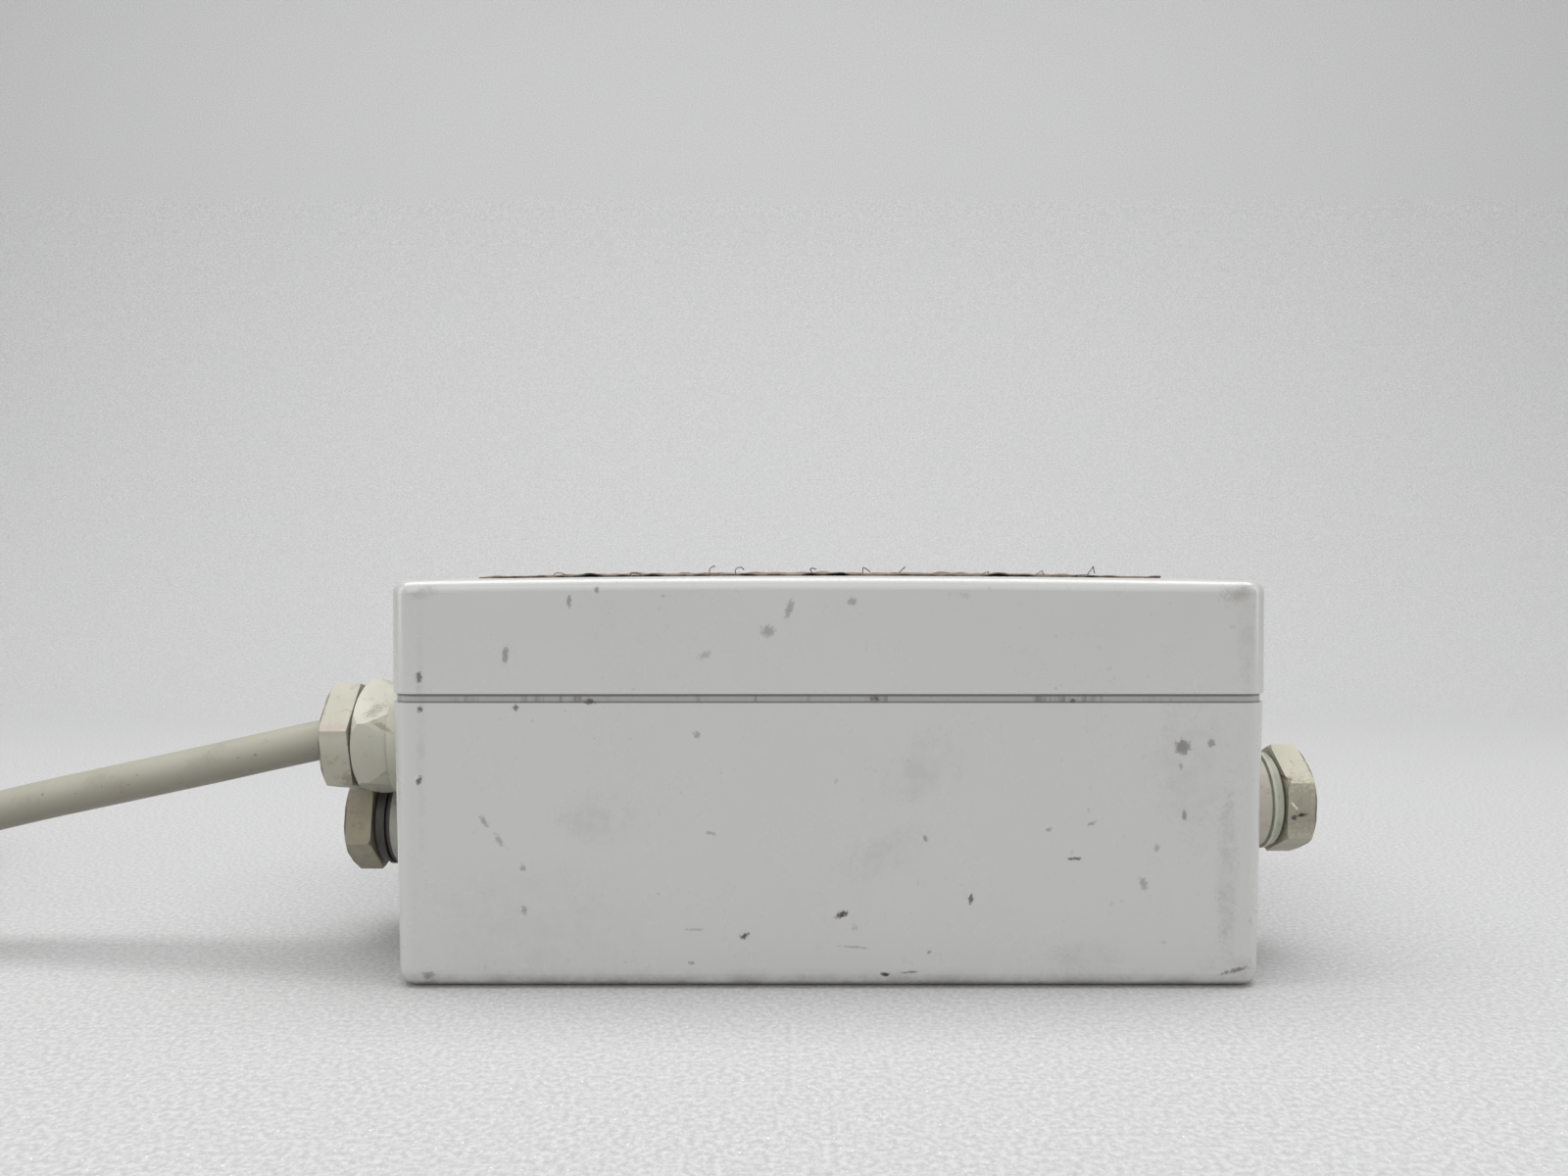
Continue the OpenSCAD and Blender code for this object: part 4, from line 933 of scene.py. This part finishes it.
def paint_lead():
    """The lead, its cores inside the box, and its plug."""
    sheath = sheath_paint()
    dress(sheath, cable)
    give(sheath, "cable_jacket_end")
    give(core_paint("core_brown", (0.155, 0.055, 0.022)), "core_brown")
    give(core_paint("core_blue", (0.030, 0.14, 0.46)), "core_blue")
    give(core_paint("core_green", (0.09, 0.34, 0.05), (0.74, 0.60, 0.05)), "core_earth")
    give(plain("plug_grey", (0.31, 0.31, 0.29), 0.5, 700, 0.12), "plug_body")
    give(metal("pin_brass", (0.74, 0.66, 0.46), 0.22, (14.0, 1.0, 1.0)), "plug_pins")


def paint_black():
    """Black plastic, on pieces of several kinds."""
    black = plain("moulding_black", (0.028, 0.028, 0.030), 0.48, 1100, 0.3)
    dress(black, tie)
    give(black, "transformer_bobbin", "fuse_holder", "learn_button")


def paint_boards():
    """Both boards, the stand-offs, and the larger pieces on the boards."""
    give(board_paint("board_green"), "circuit_board", "radio_board")
    give(metal("standoff_brass", (0.72, 0.52, 0.22), 0.3, (1.0, 1.0, 10.0)), "board_standoffs")
    give(core_stack_paint(), "transformer_core")
    give(winding_paint(), "transformer_winding")
    give(capacitor_paint(), "filter_capacitors")
    give(plain("relay_blue", (0.018, 0.095, 0.32), 0.42, 900, 0.18), "relays")
    give(plain("terminal_orange", (0.66, 0.19, 0.022), 0.45, 900, 0.15), "mains_terminals")
    give(plain("terminal_green", (0.025, 0.26, 0.075), 0.45, 900, 0.15),
         "motor_terminals", "control_terminals")
    give(glass_paint(), "fuse_tube")
    give(metal("can_steel", (0.66, 0.66, 0.63), 0.28, (1.0, 1.0, 10.0)), "fuse_caps", "radio_can")


def paint_controls():
    """The chip, the antenna, and what a fitter sets, presses or reads."""
    give(chip_paint(), "controller_chip")
    give(plain("antenna_sleeve", (0.40, 0.05, 0.03), 0.45, 700, 0.15), "antenna_wire")
    give(plain("switch_red", (0.42, 0.022, 0.015), 0.42, 900, 0.15), "dip_switch_body")
    give(plain("lever_white", (0.74, 0.74, 0.70), 0.42, 1000, 0.06), "dip_lever_1",
         "dip_lever_2", "dip_lever_3", "dip_lever_4", "force_trimmer", "time_trimmer")
    give(plain("trimmer_blue", (0.018, 0.075, 0.36), 0.32, 900, 0.15), "trimmer_housings")
    give(plain("housing_grey", (0.075, 0.075, 0.080), 0.5, 1000, 0.2), "button_housings")
    give(plain("cap_green", (0.025, 0.30, 0.075), 0.3, 900, 0.12), "open_button")
    give(plain("cap_red", (0.50, 0.022, 0.014), 0.3, 900, 0.12), "stop_button")
    give(plain("cap_yellow", (0.74, 0.50, 0.03), 0.3, 900, 0.1), "close_button")
    give(lamp_paint(), "status_leds")


paint_case()
paint_glands()
paint_lead()
paint_black()
paint_boards()
paint_controls()


# ---------- floor and light ----------

def floor_sheet():
    """A pale matt sheet with a fine grain and painted glints."""
    paint = Paint("floor_sheet", 0.62)
    grain = paint.noise(780, 3, 0.65)
    tone = paint.mix(paint.band(grain, 0.3, 0.7), (0.446, 0.448, 0.450), (0.607, 0.607, 0.604))
    # Painted glints: tiny near-white specks in the sheet's colour.
    glint = paint.band(paint.noise(1500, 1), 0.70, 0.78)
    tone = paint.mix(glint, tone, (0.92, 0.92, 0.92))
    tone = paint.mix(paint.band(paint.noise(9, 2), 0.3, 0.7, 0.0, 0.10), tone, (0.52, 0.53, 0.54))
    return paint.finish(tone, paint.band(grain, 0.2, 0.8, 0.5, 0.75), grain, 0.12, 0.2)


def make_floor():
    """A pale sheet that lies under the object and curves up far behind it."""
    back, rise, reach, steps = 0.9, 1.6, 3.0, 24
    turn_r = 0.5
    profile = [(-reach, 0)]
    for k in range(steps + 1):
        a = math.pi / 2 * k / steps
        profile.append((back - turn_r + turn_r * math.sin(a), turn_r - turn_r * math.cos(a)))
    profile.append((back, rise))
    mesh = bpy.data.meshes.new("floor")
    points = [(x, y, z) for y, z in profile for x in (-reach, reach)]
    faces = [(2 * k, 2 * k + 1, 2 * k + 3, 2 * k + 2) for k in range(len(profile) - 1)]
    mesh.from_pydata(points, [], faces)
    for polygon in mesh.polygons:
        polygon.use_smooth = True
    floor = bpy.data.objects.new("floor", mesh)
    bpy.context.scene.collection.objects.link(floor)
    mesh.materials.append(floor_sheet())


def make_light(name, at, aim, size, power):
    data = bpy.data.lights.new(name, "AREA")
    data.shape = "RECTANGLE"
    data.size, data.size_y = size
    data.energy = power
    light = bpy.data.objects.new(name, data)
    light.location = at
    light.rotation_euler = (Vector(aim) - Vector(at)).to_track_quat("-Z", "Y").to_euler()
    bpy.context.scene.collection.objects.link(light)


def make_world(strength):
    world = bpy.data.worlds.new("world")
    world.use_nodes = True
    background = world.node_tree.nodes["Background"]
    background.inputs["Color"].default_value = (1, 1, 1, 1)
    background.inputs["Strength"].default_value = strength
    bpy.context.scene.world = world


make_floor()
make_light("ceiling", (0, 0.02, 1.1), (0, 0.02, 0), (1.9, 0.55), 12.5)
make_light("front", (-0.2, -1.4, 0.75), (0, 0, 0.05), (1.8, 1.0), 5.6)
make_light("left", (-1.3, -0.35, 0.45), (-0.1, 0, 0.05), (0.4, 1.0), 2.4)
make_light("right", (1.3, -0.35, 0.45), (0.1, 0, 0.05), (0.4, 1.0), 2.0)
make_world(0.52)
bpy.context.scene.view_settings.view_transform = "Standard"
